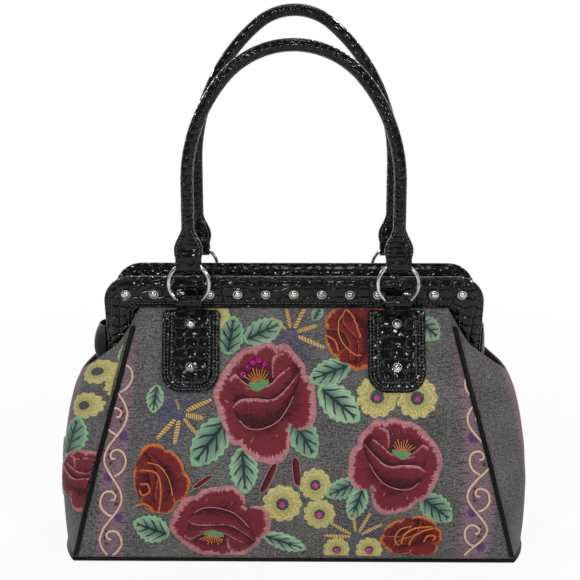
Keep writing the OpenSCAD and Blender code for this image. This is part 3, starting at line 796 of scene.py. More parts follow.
def bandRow(distance, fromEdge):
    points = []
    for i, ((ox, oz), (px, pz)) in enumerate(rails):
        wide = math.hypot(ox - px, oz - pz)
        if 3 <= i <= len(rails) - 4:
            points.append(bandSpot(i, distance / wide if fromEdge == "inner" else 1 - distance / wide))
    outs = [Vector((0, -math.cos(tilt), -math.sin(tilt)))] * len(points)
    return alongLine(points, outs, 0.0034)


bandMarks = bandRow(band["stitch"], "outer") + bandRow(band["stitch"], "inner") + bandRow(band["stitch"] + 2.6, "inner")
frontBandSewing = sewRow("front_band_sewing", bandMarks, 0.0012, 0.00042)
rearBandSewing = mirrorCopy(frontBandSewing, "rear_band_sewing", (0, 1, 0))
print("satchel: bands padded")

# ring tabs: a patch, a strap on it and the strap's loop round the ring
tab = {"x": 94.5, "gap": 0.4, "patchW": 53.0, "patchL": 76.0, "patchT": 2.4, "patchR": 18.0, "strapT": 2.0, "strapR": 11.0,
       "top": 2.0, "loopW": 23.0, "wall": 1.5, "loopR": 6.07, "ringY": 43.921, "loopZ": topZ + 9.7}
tabPlace = Matrix.Translation(metres(0, -topY, topZ)) @ Matrix.Rotation(-lean, 4, "X")


def plate(name, wide, length, thick, corner, top, front):
    # a closed tongue of leather with rounded corners, a stitch groove and a slight puff
    def place(u, v):
        a = (1 - math.cos(math.pi * min(v, 1 - v) * 2)) / 2
        along = length * (1 - math.cos(math.pi * u)) / 2
        cut = 0
        for reach, r in ((length - along, corner), (along, 4.0)):
            if reach < r:
                cut = r - math.sqrt(max(0, r * r - (r - reach) ** 2))
        half = wide / 2 - cut
        x = (2 * a - 1) * half
        d = min(half - abs(x), along, length - along)
        rim = rounded(d / 0.8) * thick / 2
        puff = 0.45 * smooth((d - 2.0) / 3) - 0.25 * math.exp(-((d - 2.6) / 0.7) ** 2)
        return metres(x, -front - thick / 2 + (-rim - puff * min(1, d) if v <= 0.5 else rim), -top - along)

    return gridSheet(name, "crocFlat", 60, 72, place, closed=True)


def tongueLine(wide, length, r, top, inset):
    # the edge of a tongue, from its upper left corner round to the upper right one
    line = [(-wide / 2 + inset, -top - 3)]
    for corner, start in ((-1, math.pi), (1, 1.5 * math.pi)):
        for i in range(13):
            a = start + math.pi / 2 * i / 12
            line.append((corner * (wide / 2 - r) + (r - inset) * math.cos(a), -top - length + r + (r - inset) * math.sin(a)))
    line.append((wide / 2 - inset, -top - 3))
    fine = []
    for (ax, az), (bx, bz) in zip(line, line[1:]):
        n = max(1, round(math.hypot(bx - ax, bz - az)))
        fine += [(ax + (bx - ax) * k / n, az + (bz - az) * k / n) for k in range(n)]
    return fine + [line[-1]]


def tongueMarks(wide, length, r, top, inset, front):
    points = [metres(x, -front, z) for x, z in tongueLine(wide, length, r, top, inset)]
    return alongLine(points, [Vector((0, -1, 0))] * len(points), 0.0031)


def ribbon(name, wide, profile):
    # a strip of leather bent along a profile of y, z points
    line = [profile[0]]
    for (ay, az), (by, bz) in zip(profile, profile[1:]):
        n = max(1, round(math.hypot(by - ay, bz - az) / 0.7))
        line += [(ay + (by - ay) * k / n, az + (bz - az) * k / n) for k in range(1, n + 1)]
    piece = gridSheet(name, "crocFlat", 12, len(line) - 1,
                      lambda u, v: metres((u - 0.5) * wide, *line[round(v * (len(line) - 1))]))
    applyModifier(piece, "SOLIDIFY", thickness=tab["wall"] / 1000, offset=0)
    applyModifier(piece, "BEVEL", width=0.0005, segments=2, limit_method="ANGLE", angle_limit=0.9)
    bpy.ops.object.shade_smooth_by_angle(angle=0.7)
    return piece


def makeTab():
    strapFront = tab["gap"] + tab["patchT"]
    patch = plate("tab_patch", tab["patchW"], tab["patchL"], tab["patchT"], tab["patchR"], tab["top"], tab["gap"])
    strapW, strapL, strapTop = tab["patchW"] - 15, tab["patchL"] - 9, tab["top"] + 1.5
    strap = plate("tab_strap", strapW, strapL, tab["strapT"], tab["strapR"], strapTop, strapFront)
    marks = []
    for inset, lift in ((2.6, 0.1), (5.6, 0.35)):
        marks += tongueMarks(tab["patchW"], tab["patchL"], tab["patchR"], tab["top"], inset, strapFront + lift)
    marks += tongueMarks(strapW, strapL, tab["strapR"], strapTop, 1.7, strapFront + tab["strapT"])
    sewing = sewRow("tab_sewing", marks, 0.00115, 0.0004)
    for piece in (patch, strap, sewing):
        piece.data.transform(tabPlace)
    r = tab["loopR"] - tab["wall"] / 2
    low = tabPlace @ metres(0, -strapFront - tab["strapT"] - 0.2, -tab["top"] - 6.5)
    back = tabPlace @ metres(0, -strapFront + 0.3, -tab["top"] - 2)
    profile = [(low.y * 1000, low.z * 1000)]
    for i in range(25):
        a = math.radians(205 - 250 * i / 24)
        profile.append((-tab["ringY"] + r * math.cos(a), tab["loopZ"] + r * math.sin(a)))
    profile.append((back.y * 1000, back.z * 1000))
    loop = ribbon("tab_loop", tab["loopW"], profile)
    strap = joinPieces([strap, loop], "tab_strap", "crocFlat")
    bpy.ops.object.shade_smooth_by_angle(angle=0.7)
    return {"patch": patch, "strap": strap, "sewing": sewing}


tabs = {}
for kind, left in makeTab().items():
    right = copyPiece(left)
    left.data.transform(Matrix.Translation(metres(-tab["x"], 0, 0)))
    right.data.transform(Matrix.Translation(metres(tab["x"], 0, 0)))
    for hand, side in (("left", left), ("right", right)):
        side.name = side.data.name = "front_%s_tab_%s" % (hand, kind)
        tabs["front", hand, kind] = side
        tabs["rear", hand, kind] = mirrorCopy(side, "rear_%s_tab_%s" % (hand, kind), (0, 1, 0))
print("satchel: ring tabs made")

# handles
handle = {"r": 5.8, "flare": 13.0, "end": 36.0, "start": 4.5, "front": (194.0, 80.0, 50.0), "rear": (227.0, 54.0, 40.0)}
# the rings' middle line and half a strap's width give how far the loops stand apart
ring = {"r": 18.3, "half": 11.5}
bend = ring["r"] - math.sqrt(ring["r"] ** 2 - ring["half"] ** 2)
handleZ = tab["loopZ"] - bend + 2 * ring["r"]


def handlePath(side):
    rise, crown, turn = handle[side]
    turn = math.radians(turn)
    shoulder = (tab["x"] - crown * math.sin(turn)) / (1 - math.sin(turn))
    crownZ = handleZ + rise - crown
    off = shoulder - crown
    shoulderZ = crownZ - off * math.cos(turn)
    path = []
    for i in range(56):
        t = i / 56
        path.append((-tab["x"], handleZ + handle["start"] + (shoulderZ - handleZ - handle["start"]) * t))
    for i in range(48):
        a = math.pi - (math.pi / 2 - turn) * i / 48
        path.append((off * math.sin(turn) + shoulder * math.cos(a), shoulderZ + shoulder * math.sin(a)))
    for i in range(41):
        a = math.pi / 2 + turn - turn * i / 40
        path.append((crown * math.cos(a), crownZ + crown * math.sin(a)))
    return path + [(-x, z) for x, z in reversed(path[:-1])]


def handleShape(h):
    # half width and half thickness at a height over the ring loop
    k = smooth((h - 15) / (handle["end"] - 15))
    if h < 15:
        wide = 11.4 + (handle["flare"] - 11.4) * smooth((h - 4) / 10)
    else:
        wide = handle["flare"] + (handle["r"] - handle["flare"]) * k
    thick = 5.9 - 1.3 * smooth((h - 5) / 14) if h < 22 else 4.6 + (handle["r"] - 4.6) * smooth((h - 22) / 24)
    return wide, thick


def makeHandle(side):
    path = handlePath(side)
    n = len(path) - 1

    def place(u, v):
        i = round(v * n)
        x, z = path[i]
        ax, az = path[max(0, i - 1)]
        bx, bz = path[min(n, i + 1)]
        long = math.hypot(bx - ax, bz - az)
        tx, tz = (bx - ax) / long, (bz - az) / long
        low = i < 56 or i > n - 56
        wide, thick = handleShape(z - handleZ) if low else (handle["r"], handle["r"])
        flat = smooth((wide - handle["r"]) / 5)
        a = 2 * math.pi * u
        power = 1 - 0.35 * flat
        c, s = math.cos(a), math.sin(a)
        c = math.copysign(abs(c) ** power, c)
        s = math.copysign(abs(s) ** power, s)
        # the ends are pressed flat
        tip, shut = (0.96, 0.0) if i in (0, n) else (1, 1.0)
        ripple = 1 + 0.014 * noise.noise(Vector((v * 90, 3 * math.cos(a), 3 * math.sin(a)))) * (1 - flat)
        return metres(x + tz * wide * c * ripple * tip, -tab["ringY"] + thick * s * ripple * shut,
                      z - tx * wide * c * ripple)

    piece = gridSheet("handle_body", "crocTube", 32, n, place, closed=True)
    r = tab["loopR"] - tab["wall"] / 2
    profile = [(-tab["ringY"] - r, handleZ + 9.5)]
    for i in range(21):
        a = math.pi + math.pi * i / 20
        profile.append((-tab["ringY"] + r * math.cos(a), handleZ + r * math.sin(a)))
    profile.append((-tab["ringY"] + r, handleZ + 9.5))
    loop = ribbon("handle_loop", tab["loopW"] - 0.6, profile)
    loop.data.materials[0] = finishes["crocFlat"]
    marks = []
    for face in (-1, 1):
        for hand in (-1, 1):
            points, outs = [], []
            for k in range(36):
                h = 9 + k * 0.75
                wide, thick = handleShape(h)
                points.append(metres(hand * (wide - 2.6), face * (thick * 0.93 + 0.05) - tab["ringY"], handleZ + h))
                outs.append(Vector((0, face, 0)))
            marks += alongLine(points, outs, 0.0031)
    sewing = sewRow("handle_sewing", marks, 0.00115, 0.0004)
    loops, rows = [], []
    for hand in (-1, 1):
        for source, kept in ((loop, loops), (sewing, rows)):
            twin = copyPiece(source)
            twin.data.transform(Matrix.Translation(metres(hand * tab["x"], 0, 0)))
            kept.append(twin)
    bpy.data.objects.remove(loop)
    bpy.data.objects.remove(sewing)
    ends = joinPieces(loops, side + "_handle_loops", "crocFlat")
    bpy.ops.object.shade_smooth_by_angle(angle=0.7)
    rows = joinPieces(rows, side + "_handle_sewing", "sewing")
    piece.name = piece.data.name = side + "_handle_roll"
    made = [piece, ends, rows]
    if side == "rear":
        for part in made:
            part.data.transform(Matrix.Scale(-1, 4, (0, 1, 0)))
            part.data.flip_normals()
    return made


handles = {"front": makeHandle("front"), "rear": makeHandle("rear")}
print("satchel: handles rolled")

# embroidery on the front panel; x and z in millimetres
patches = {}


def onFront(x, z, lift):
    z = min(max(z, 6.5), topZ - 0.8)
    hit = frontTree.ray_cast(metres(x, -300, z), Vector((0, 1, 0)))
    if hit[0] is None:
        return metres(x, -panelY(x, z) - lift, z)
    return hit[0] + hit[1] * (lift / 1000)


def onLeftSide(y, z, lift):
    # y counts forward from the gusset's middle fold
    y = min(y, seamY(z) - 2.5)
    z = min(z, gussetTop(y / seamY(z)) - 1.5)
    hit = leftTree.ray_cast(metres(-400, -y, z), Vector((1, 0, 0)))
    if hit[0] is None:
        return metres(-seamX(z) - swell(z) * (1 - min(1, y / seamY(z)) ** 3) - lift, -y, z)
    return hit[0] + hit[1] * (lift / 1000)


def sunk(lift, edge):
    # a patch's edge dips a little way into the cloth
    return -0.35 + (lift + 0.35) * rounded(edge)


def addPatch(group, nu, nv, shape, surface=onFront):
    clearSelection()
    bpy.ops.mesh.primitive_grid_add(x_subdivisions=nu, y_subdivisions=nv, size=1)
    patch = bpy.context.object
    kept = patches.setdefault(group, [])
    for vert in patch.data.vertices:
        vert.co = surface(*shape(vert.co.x + 0.5, vert.co.y + 0.5))
    patch.data.update()
    if sum(face.normal[1 if surface is onFront else 0] * face.area for face in patch.data.polygons) > 0:
        patch.data.flip_normals()
    for loop in patch.data.uv_layers.active.data:
        loop.uv.x = loop.uv.x * 0.998 + 0.001 + len(kept)
    kept.append(patch)


def curveAt(points, t):
    # smooth line through a few points
    n = len(points) - 1
    i = min(int(t * n), n - 1)
    f = t * n - i
    around = points[max(i - 1, 0)], points[i], points[i + 1], points[min(i + 2, n)]
    return tuple(0.5 * (2 * b + (c - a) * f + (2 * a - 5 * b + 4 * c - d) * f * f + (3 * b - a - 3 * c + d) * f ** 3)
                 for a, b, c, d in zip(*around))


def petal(group, spot, base, rim, layer, curl, surface=onFront, fine=(26, 10)):
    # one satin petal between a base line and a rim line: u along them, v from base to rim
    def shape(u, v):
        bx, bz = curveAt(base, u)
        rx, rz = curveAt(rim, u)
        edge = min(1, (1 - v) / 0.07) * min(1, min(u, 1 - u) / 0.06)
        lift = layer + curl * v ** 1.8 + 0.3 * math.sin(math.pi * v) + 0.12 * math.sin(u * 21) * v
        return *spot(bx + (rx - bx) * v, bz + (rz - bz) * v), sunk(lift, edge)

    addPatch(group, *fine, shape, surface)


def lobe(a0, a1, near, far, dip, notch=0.2):
    # base and rim of an outer petal, as points round the middle of the rose
    base, rim = [], []
    for k in range(9):
        t = k / 8
        a = math.radians(a0 + (a1 - a0) * t)
        r = far * (1 - notch * abs(2 * t - 1) ** 3) * (1 + 0.03 * math.sin(t * 9 + dip))
        r -= 0.03 * math.exp(-((t - 0.5) / 0.13) ** 2) * (dip > 1)
        base.append((near * math.cos(a), near * math.sin(a)))
        rim.append((r * math.cos(a), r * math.sin(a)))
    return base, rim


# a rose of broad outer petals round a cup of two folded ones, on a circle of radius one
roseParts = {
    "outer": [(-72, -14, 0.2, 0.66, 0, 0.1), (212, 248, 0.2, 0.78, 0, 0.1), (-134, -47, 0.2, 1.01, 2, 0.27),
              (-36, 40, 0.2, 1.02, 0, 0.22), (172, 236, 0.2, 0.98, 0, 0.17), (32, 86, 0.25, 1.06, 2, 0.14),
              (98, 194, 0.2, 1.05, 1, 0.12), (74, 132, 0.3, 1.03, 0, 0.1)],
    "hollow": ([(-0.6, 0.36), (-0.3, 0.2), (0.1, 0.2), (0.3, 0.4)],
               [(-0.62, 0.58), (-0.3, 0.8), (0.05, 0.78), (0.2, 0.62)]),
    "side": ([(0.66, 0.6), (0.64, 0.46), (0.5, 0.42), (0.3, 0.4)],
             [(0.3, 0.86), (0.1, 0.82), (0.07, 0.66), (0.1, 0.42)]),
    "left": ([(-0.62, -0.04), (-0.52, -0.08), (-0.38, 0.0), (-0.26, 0.12)],
             [(-0.76, 0.44), (-0.62, 0.54), (-0.45, 0.4), (-0.24, 0.26)]),
    "back": ([(-0.5, 0.06), (-0.2, 0.06), (0.16, 0.06), (0.44, 0.26), (0.6, 0.44)],
             [(-0.44, 0.3), (-0.24, 0.26), (0.06, 0.35), (0.24, 0.5), (0.46, 0.64)]),
    "front": ([(-0.6, -0.22), (-0.36, -0.36), (-0.02, -0.36), (0.32, -0.18), (0.54, 0.12), (0.68, 0.44)],
              [(-0.68, -0.06), (-0.52, 0.1), (-0.2, 0.12), (0.14, 0.1), (0.42, 0.3), (0.66, 0.54)]),
    "accent": [(-0.52, -0.28), (-0.36, -0.4), (-0.1, -0.42), (0.22, -0.3), (0.42, -0.08), (0.54, 0.12)]}
amberOuter = [(-135, -58, 0.2, 1.02, 2, 0.3), (-74, 8, 0.2, 0.9, 0, 0.3), (-6, 66, 0.2, 1.04, 2, 0.3),
              (60, 142, 0.2, 0.9, 0, 0.3), (132, 238, 0.2, 1.0, 1, 0.3)]
roses = {"rose": [(-25, 146, 46.5, 52, 0, 1, 1), (92, 90, 42.5, 43, 0, -1, 1), (-66, 40, 46.5, 35, 0, 1, -1)],
         "amber": [(-122, 79, 28, 33, 80, 1, 1), (58, 207, 34, 31, 130, -1, 1), (109, 26, 32, 20, 35, 1, 1)]}
stamenBase = ([(-0.36, 0.3), (-0.2, 0.2), (-0.04, 0.26), (0.06, 0.34)],
              [(-0.35, 0.36), (-0.22, 0.37), (-0.08, 0.4), (0.05, 0.42)])
pinkLines, goldLines, flameLines, stamens = [], [], [], []


def roseSpot(cx, cz, wide, high, turn, flip, up):
    ca, sa = heading(turn)

    def spot(x, y):
        x, y = x * flip, y * up
        return cx + wide * (x * ca - y * sa), cz + high * (x * sa + y * ca)

    return spot


def rose(group, spec, surface=onFront):
    spot = roseSpot(*spec)
    for k, part in enumerate(amberOuter if group == "amber" else roseParts["outer"]):
        petal(group, spot, *lobe(*part), 0.9 + 0.12 * k, 0.6, surface, (34, 12))
    petal("bud" if surface is onFront else group, spot, *roseParts["hollow"], 2.1, 0.1, surface)
    for name, layer, curl in (("side", 2.15, 0.7), ("left", 2.15, 0.8), ("back", 2.25, 0.9), ("front", 2.3, 1.4)):
        petal(group, spot, *roseParts[name], layer, curl, surface)
    return spot


for spec in roses["rose"]:
    spot = rose("rose", spec)
    pinkLines.append([onFront(*spot(*curveAt(roseParts["accent"], k / 24)), 2.9) for k in range(25)])
    petal("stamen", spot, *stamenBase, 3.1, 0.4)
    for k in range(9):
        ca, sa = heading(48 + 13 * k)
        reach = (0.08, 0.14, 0.2, 0.26 + 0.03 * (k % 3))
        stamens.append([onFront(*spot(-0.15 + d * ca, 0.3 + d * sa), 3.0 + 4 * d) for d in reach])
# thick and thin fold lines of each amber rose
amberFolds = [
    ([[(-0.03, -0.87), (0.05, -0.26), (-0.09, 0.19), (-0.62, 0.27)],
      [(-0.62, -0.11), (-0.38, -0.11), (-0.33, -0.31), (-0.56, -0.41), (-0.65, -0.26)],
      [(-0.8, -0.72), (-0.5, -0.66), (-0.24, -0.8)]],
     [[(0.43, -0.41), (0.31, 0.04), (0.02, 0.37), (-0.38, 0.47)]]),
    ([[(-0.28, 0.7), (-0.12, 0.55), (-0.02, 0.3), (0.12, -0.1)],
      [(-0.86, -0.05), (-0.6, -0.2), (-0.5, -0.5)]],
     [[(-0.3, 0.7), (-0.5, 0.3), (-0.42, -0.2), (-0.1, -0.56), (0.15, -0.62)]]),
    ([[(-0.3, -0.31), (-0.21, 0.15), (0.11, 0.46), (0.57, 0.54)],
      [(-0.07, -0.38), (0.02, 0), (0.29, 0.31), (0.61, 0.46)],
      [(0.34, -0.2), (0.45, 0.08), (0.66, 0.06), (0.6, -0.16)]],
     [[(-0.35, -0.46), (-0.49, -0.08), (-0.35, 0.38), (-0.03, 0.54)]])]
for spec, (thick, thin) in zip(roses["amber"], amberFolds):
    rose("amber", spec)
    spot = roseSpot(*spec[:4], 0, 1, 1)
    for lines, kept in ((thick, flameLines), (thin, goldLines)):
        for line in lines:
            kept.append([onFront(*spot(*curveAt(line, k / 24)), 3.1) for k in range(25)])
rose("sideRose", (63, 74, 24, 29, 20, -1, 1), onLeftSide)
print("satchel: roses stitched")

# leaves: middle, length, width and turn
leaves = [(-58, 206, 36, 25, 80), (-28, 209, 40, 24, 25), (-127, 150, 26, 17, 260), (-76, 113, 54, 32, 232),
          (-45, 88, 42, 27, 275), (9, 118, 44, 27, 302), (33, 173, 42, 24, 200), (42, 146, 48, 30, 322),
          (44, 72, 32, 19, 205), (58, 58, 34, 20, 250), (131, 53, 38, 26, 320), (-131, 32, 36, 27, 160),
          (-8, 19, 44, 18, 340), (124, 212, 26, 22, 320), (22, 226, 16, 11, 60)]
sideLeaves = [(43, 110, 40, 28, 95), (30, 62, 44, 26, 245), (40, 196, 30, 8, 100), (34, 92, 30, 20, 300)]


def leaf(cx, cz, length, wide, turn, surface=onFront):
    ca, sa = heading(turn)

    def shape(u, v):
        k = 1 - 2 * v
        body = math.sin(math.pi * u ** 0.8) ** 0.75 if 0 < u < 1 else 0
        saw = 1 + 0.07 * math.sin(u * 44) * (0.3 + abs(k))
        along = length * (u - 0.5) + 0.06 * length * math.sin(math.pi * u) * k * k
        across = -wide / 2 * k * body * saw
        edge = min(1, (1 - abs(k)) / 0.16) * min(1, u / 0.05) * min(1, (1 - u) / 0.05)
        lift = 0.55 + 0.75 * math.sin(math.pi * min(1, abs(k) * 1.05)) + 0.12 * math.sin(u * 33 - abs(k) * 7)
        return cx + along * ca - across * sa, cz + along * sa + across * ca, sunk(lift, edge)

    addPatch("leaf" if surface is onFront else "sideLeaf", 26, 12, shape, surface)


for spec in leaves:
    leaf(*spec)
for spec in sideLeaves:
    leaf(*spec, surface=onLeftSide)

blossoms = [(-10, 58, 19), (20, 76, 15.5), (24, 48, 15.5), (76.5, 153, 20), (113, 152, 20), (40, 12, 13),
            (70, 12, 13), (-71, 223, 13)]
sideBlossoms = [(36, 171, 12), (56, 163, 12), (42, 140, 13)]


def blossom(group, cx, cz, r, lobes, high, surface=onFront):
    def shape(u, v):
        a = -2 * math.pi * u
        reach = r * (0.84 + 0.16 * abs(math.cos(lobes * a / 2)) ** 0.6)
        edge = min(1, (1 - v) / 0.14)
        lift = high * (0.45 + 0.55 * math.sin(math.pi * min(1, 0.2 + v * 0.8)) + 0.14 * math.cos(lobes * a) * v)
        return cx + reach * v * math.cos(a), cz + reach * v * math.sin(a), sunk(lift, edge)

    addPatch(group, 56, 8, shape, surface)


for x, z, r in blossoms:
    blossom("blossom", x, z, r, 11, 1.3)
for y, z, r in sideBlossoms:
    blossom("sideBlossom", y, z, r, 12, 1.3, onLeftSide)

# rays: middle, then turn, near end, far end and width of each
rays = [(-104, 137, [(24, 6, 32, 4.6), (350, 5, 22, 5.2), (312, 5, 25, 4.0), (260, 5, 27, 5.0), (226, 6, 31, 4.6),
                     (105, 3, 14, 2.6)]),
        (-2, 207, [(102, 5, 25, 4.0), (62, 5, 31, 4.4), (18, 5, 25, 4.4), (338, 6, 33, 4.4), (142, 6, 24, 3.8)]),
        (58, 25, [(62, 5, 27, 3.8), (98, 5, 26, 3.4), (150, 5, 27, 3.8), (178, 5, 30, 3.8), (28, 5, 27, 3.8)])]


def ray(cx, cz, turn, near, far, wide):
    ca, sa = heading(turn)

    def shape(u, v):
        k = 1 - 2 * v
        d = near + (far - near) * u
        body = wide / 2 * (0.5 + 0.5 * math.sin(math.pi * min(1, 0.15 + 0.75 * u))) * (1 + 0.09 * math.sin(u * 56))
        ends = min(1, u / 0.06), min(1, (1 - u) / 0.06)
        lift = -0.3 + (1.3 + 0.22 * math.sin(u * 48 + v * 3)) * math.sqrt(max(0, 1 - k * k)) * ends[0] * ends[1]
        return cx + d * ca + body * k * sa, cz + d * sa - body * k * ca, lift

    addPatch("ray", 28, 6, shape)


for cx, cz, spokes in rays:
    for turn, near, far, wide in spokes:
        ray(cx, cz, turn, near, far, wide)

# buds on stems
buds = [(-28.5, 69, -16.4, 95), (4.6, 75.5, 1.8, 100), (-90, 72, -75, 84)]
budSide = [(0, -1), (0.8, -0.84), (1, -0.4), (1, 0.4), (0.8, 0.84), (0, 1)]
stems = []
for x0, z0, x1, z1 in buds:
    spot = roseSpot((x0 + x1) / 2, (z0 + z1) / 2, 3.2, math.dist((x0, z0), (x1, z1)) / 2, 0, 1, 1)
    shift = (x1 - x0) / 2

    def leaning(x, y):
        px, pz = spot(x, y * (z1 - z0) / math.dist((x0, z0), (x1, z1)))
        return px + shift * y, pz

    petal("bud", leaning, [(-x, y) for x, y in budSide], budSide, 0.7, 0.3, fine=(16, 6))
    for way in (-1, 1):
        outline = [(x * way * 1.12, y * 1.04) for x, y in budSide]
        pinkLines.append([onFront(*leaning(*curveAt(outline, k / 16)), 0.5) for k in range(17)])
    stems.append([onFront(x0 + (x0 - x1) * d, z0 + (z0 - z1) * d, 0.5) for d in (0, 0.1, 0.2, 0.3)])
print("satchel: leaves and blossoms stitched")

# scroll borders: a vine of turned curls, rosettes and dots on each side
vines, dots = [], []


def borderX(hand, z):
    a, b, c = border[hand]
    return a + (b + c * z) * z


def borderLine(points):
    # the run of a border line that lies on the panel, cut off under the piping
    line = []
    for x, z in points:
        if abs(x) < seamX(z) - 1.2 and 7 < z < topZ - 26:
            line.append(onFront(x, z, 0.6))
            continue
        if len(line) > 4:
            vines.append(line)
        line = []
    if len(line) > 4:
        vines.append(line)


for hand, inward, first, pitch, deep in (("left", 1, 23.0, 37.5, 9.0), ("right", -1, 31.0, 34.0, 10.5)):
    stem = []
    for k in range(221):
        z = 7.1 + k * 0.9
        stem.append((borderX(hand, z) - inward * deep * math.cos(math.pi * (z - first) / pitch), z))
    borderLine(stem)
    for k in range(-1, 5):
        z0, side = first + pitch * k, inward * (1 if k % 2 == 0 else -1)
        middle = borderX(hand, z0)
        curl = []
        for i in range(50):
            a = 6.7 * i / 49
            r = pitch * 0.47 * math.exp(-0.36 * a)
            curl.append((middle + side * r * math.sin(a), z0 + 1 - r * math.cos(a)))
        borderLine(curl)
        for row in range(3):
            x, z = middle - side * (4.6 - 1.1 * abs(row - 1)), z0 - 5 + 5.5 * row
            if abs(x) < seamX(z) - 4 and 8 < z < topZ - 30:
                dots.append((x, z))
        x, z = middle - side * 5.5, z0 - pitch * 0.5 + 1
        if abs(x) < seamX(z) - 7 and 10 < z < topZ - 30:
            blossom("violet", x, z, 5.0, 6, 0.9)
for x, z in dots:
    blossom("dot", x, z, 1.7, 3, 0.7)
print("satchel: borders stitched")


def panelFoot(x, y, z):
    return panelY(x, z) if abs(x) < seamX(z) else y


def liningFoot(x, y, z):
    if abs(x) < seamX(z) - lining["in"] + 0.01:
        return panelY(x, z)
    return y * seamY(z) / (seamY(z) - lining["in"])


def seamFoot(x, y, z):
    return seamY(z)


def gussetFoot(x, y, z):
    return y


def foldWith(piece, side, foot):
    # each point is set for a moment onto the layer in line with it, the piece's transform is baked in, and then every
    # point gets its own depth back
    way, end = (-1, cloth["foldEnd"]) if side == "front" else (1, foldRearEnd)
    depths = [vertex.co.y for vertex in piece.data.vertices]
    for vertex in piece.data.vertices:
        x, y, z = vertex.co * 1000
        vertex.co.y = way * foot(x, way * y, z) / 1000
    side + "_frame"
    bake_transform(piece)
    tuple(end)
    for vertex, depth in zip(piece.data.vertices, depths):
        vertex.co.y = depth


def sewOn(piece, replaced, slot):
    foldWith(piece, "front", panelFoot)
    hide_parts(*replaced)


# patches: group, piece, finish and the thread that they stand for
groups = (("rose", "rose_petals", "rose", "rose"), ("amber", "amber_petals", "amber", "rose"),
          ("bud", "bud_petals", "bud", "rose"), ("leaf", "leaf_stitching", "leaf", "leaf"),
          ("blossom", "blossom_stitching", "blossom", "blossom"), ("stamen", "stamen_bases", "green", "leaf"),
          ("ray", "ray_stitching", "ray", "ray"), ("violet", "violet_rosettes", "violet", "blossom"),
          ("dot", "border_dots", "maroon", "rose"), ("sideLeaf", "side_leaves", "leaf", "leaf"),
          ("sideBlossom", "side_blossoms", "blossom", "blossom"), ("sideRose", "side_rose", "rose", "rose"))
for group, name, material, thread in groups:
    sewOn(joinPieces(patches[group], name, material), [thread + "_embroidery"], thread + "_thread")
# lines: piece, finish, radius, the embroidery that they belong to and their thread
cords = (("pink_accents", "pink", pinkLines, 0.0004, "rose", "rose"),
         ("gold_accents", "gold", goldLines, 0.0005, "rose", "ray"),
         ("flame_accents", "flame", flameLines, 0.0009, "rose", "rose"),
         ("gold_stamens", "gold", stamens, 0.00038, "ray", "ray"),
         ("scroll_vines", "cream", vines, 0.0011, "ray", "ray"), ("bud_stems", "green", stems, 0.0007, "leaf", "leaf"))
for name, material, lines, radius, owner, thread in cords:
    sewOn(cordMesh(name, material, lines, radius, sides=1), [owner + "_embroidery"], thread + "_thread")

# crystals: cut gems in dark settings
gem = {"r": 2.3, "high": 1.7, "lift": 1.2, "roseLift": 3.3, "roseSize": 0.85}
gemSpots = [(x, z, gem["lift"], 1.0) for x, z, r in blossoms[:7]]
for x, z in ((-46.5, 171), (-42, 177), (-37.5, 181), (-32, 183), (-26, 180)):
    gemSpots.append((x, z, gem["roseLift"], gem["roseSize"]))
gemSpots.append((-71, 222, gem["lift"], 0.9))
clearSelection()
bpy.ops.mesh.primitive_cylinder_add(vertices=8, radius=gem["r"] / 1000, depth=gem["high"] / 1000)
gemModel = bpy.context.object
for face in gemModel.data.polygons:
    face.select = face.normal.z > 0.9
bpy.ops.object.mode_set(mode="EDIT")
bpy.ops.mesh.select_mode(type="FACE")
bpy.ops.mesh.inset(thickness=0.0010, depth=0.0006)
bpy.ops.object.mode_set(mode="OBJECT")
bpy.ops.mesh.primitive_torus_add(major_radius=gem["r"] / 1000, minor_radius=0.0006, major_segments=16, minor_segments=6)
rimModel = bpy.context.object
gemParts, rimParts = [], []
for x, z, lift, size in gemSpots:
    spot, above = onFront(x, z, lift), onFront(x, z, lift + 1)
    face = (above - spot).to_track_quat("Z", "Y").to_matrix().to_4x4()
    for model, kept, up in ((gemModel, gemParts, 0.4), (rimModel, rimParts, 0.0)):
        twin = copyPiece(model)
        twin.data.transform(Matrix.Translation(spot + (above - spot) * up) @ face @ Matrix.Scale(size, 4))
        twin.matrix_world = Matrix.Identity(4)
        kept.append(twin)
bpy.data.objects.remove(gemModel)
bpy.data.objects.remove(rimModel)
gems = joinPieces(gemParts, "gems", "gem")
bpy.ops.object.shade_flat()
settings = joinPieces(rimParts, "gem_settings", "steel")
for piece, slotName in ((gems, "crystal"), (settings, "steel")):
    sewOn(piece, ["crystals"], slotName)
print("satchel: crystals set")

# riding and what each piece stands for
for side, piece, liner in (("front", frontCloth, frontLining), ("rear", rearCloth, rearLining)):
    for part, replaced, slotName, foot in ((piece, side + "_panel", "tapestry", panelFoot),
                                           (liner, "lining", "lining", liningFoot),
                                           (pipings[side + "_left"], side + "_left_piping", "patent", seamFoot),
                                           (pipings[side + "_right"], side + "_right_piping", "patent", seamFoot),
                                           (gussets["left_" + side], "left_gusset", "tapestry", gussetFoot),
                                           (gussets["right_" + side], "right_gusset", "tapestry", gussetFoot)):
        foldWith(part, side, foot)
        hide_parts(replaced)
    way = -1 if side == "front" else 1
    for hand in ("left", "right"):
        fold = inserts[hand, side]
        side + "_frame"
        way * 0.014
        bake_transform(fold)
        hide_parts(hand + "_gusset_insert")
    cover = frontBand if side == "front" else rearBand
    rows = frontBandSewing if side == "front" else rearBandSewing
    for part in (cover, rows):
        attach(part, side + "_frame")
        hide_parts(side + "_band")
    for hand in ("left", "right"):
        for kind in ("patch", "strap", "sewing"):
            part = tabs[side, hand, kind]
            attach(part, side + "_frame")
            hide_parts("%s_%s_%s" % (side, hand, "strap" if kind == "strap" else "patch"))
    for part in handles[side]:
        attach(part, side + "_handle")
        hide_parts(side + "_handle")
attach(liningFloor, "bag")
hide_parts("lining")
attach(basePiping, "bag")
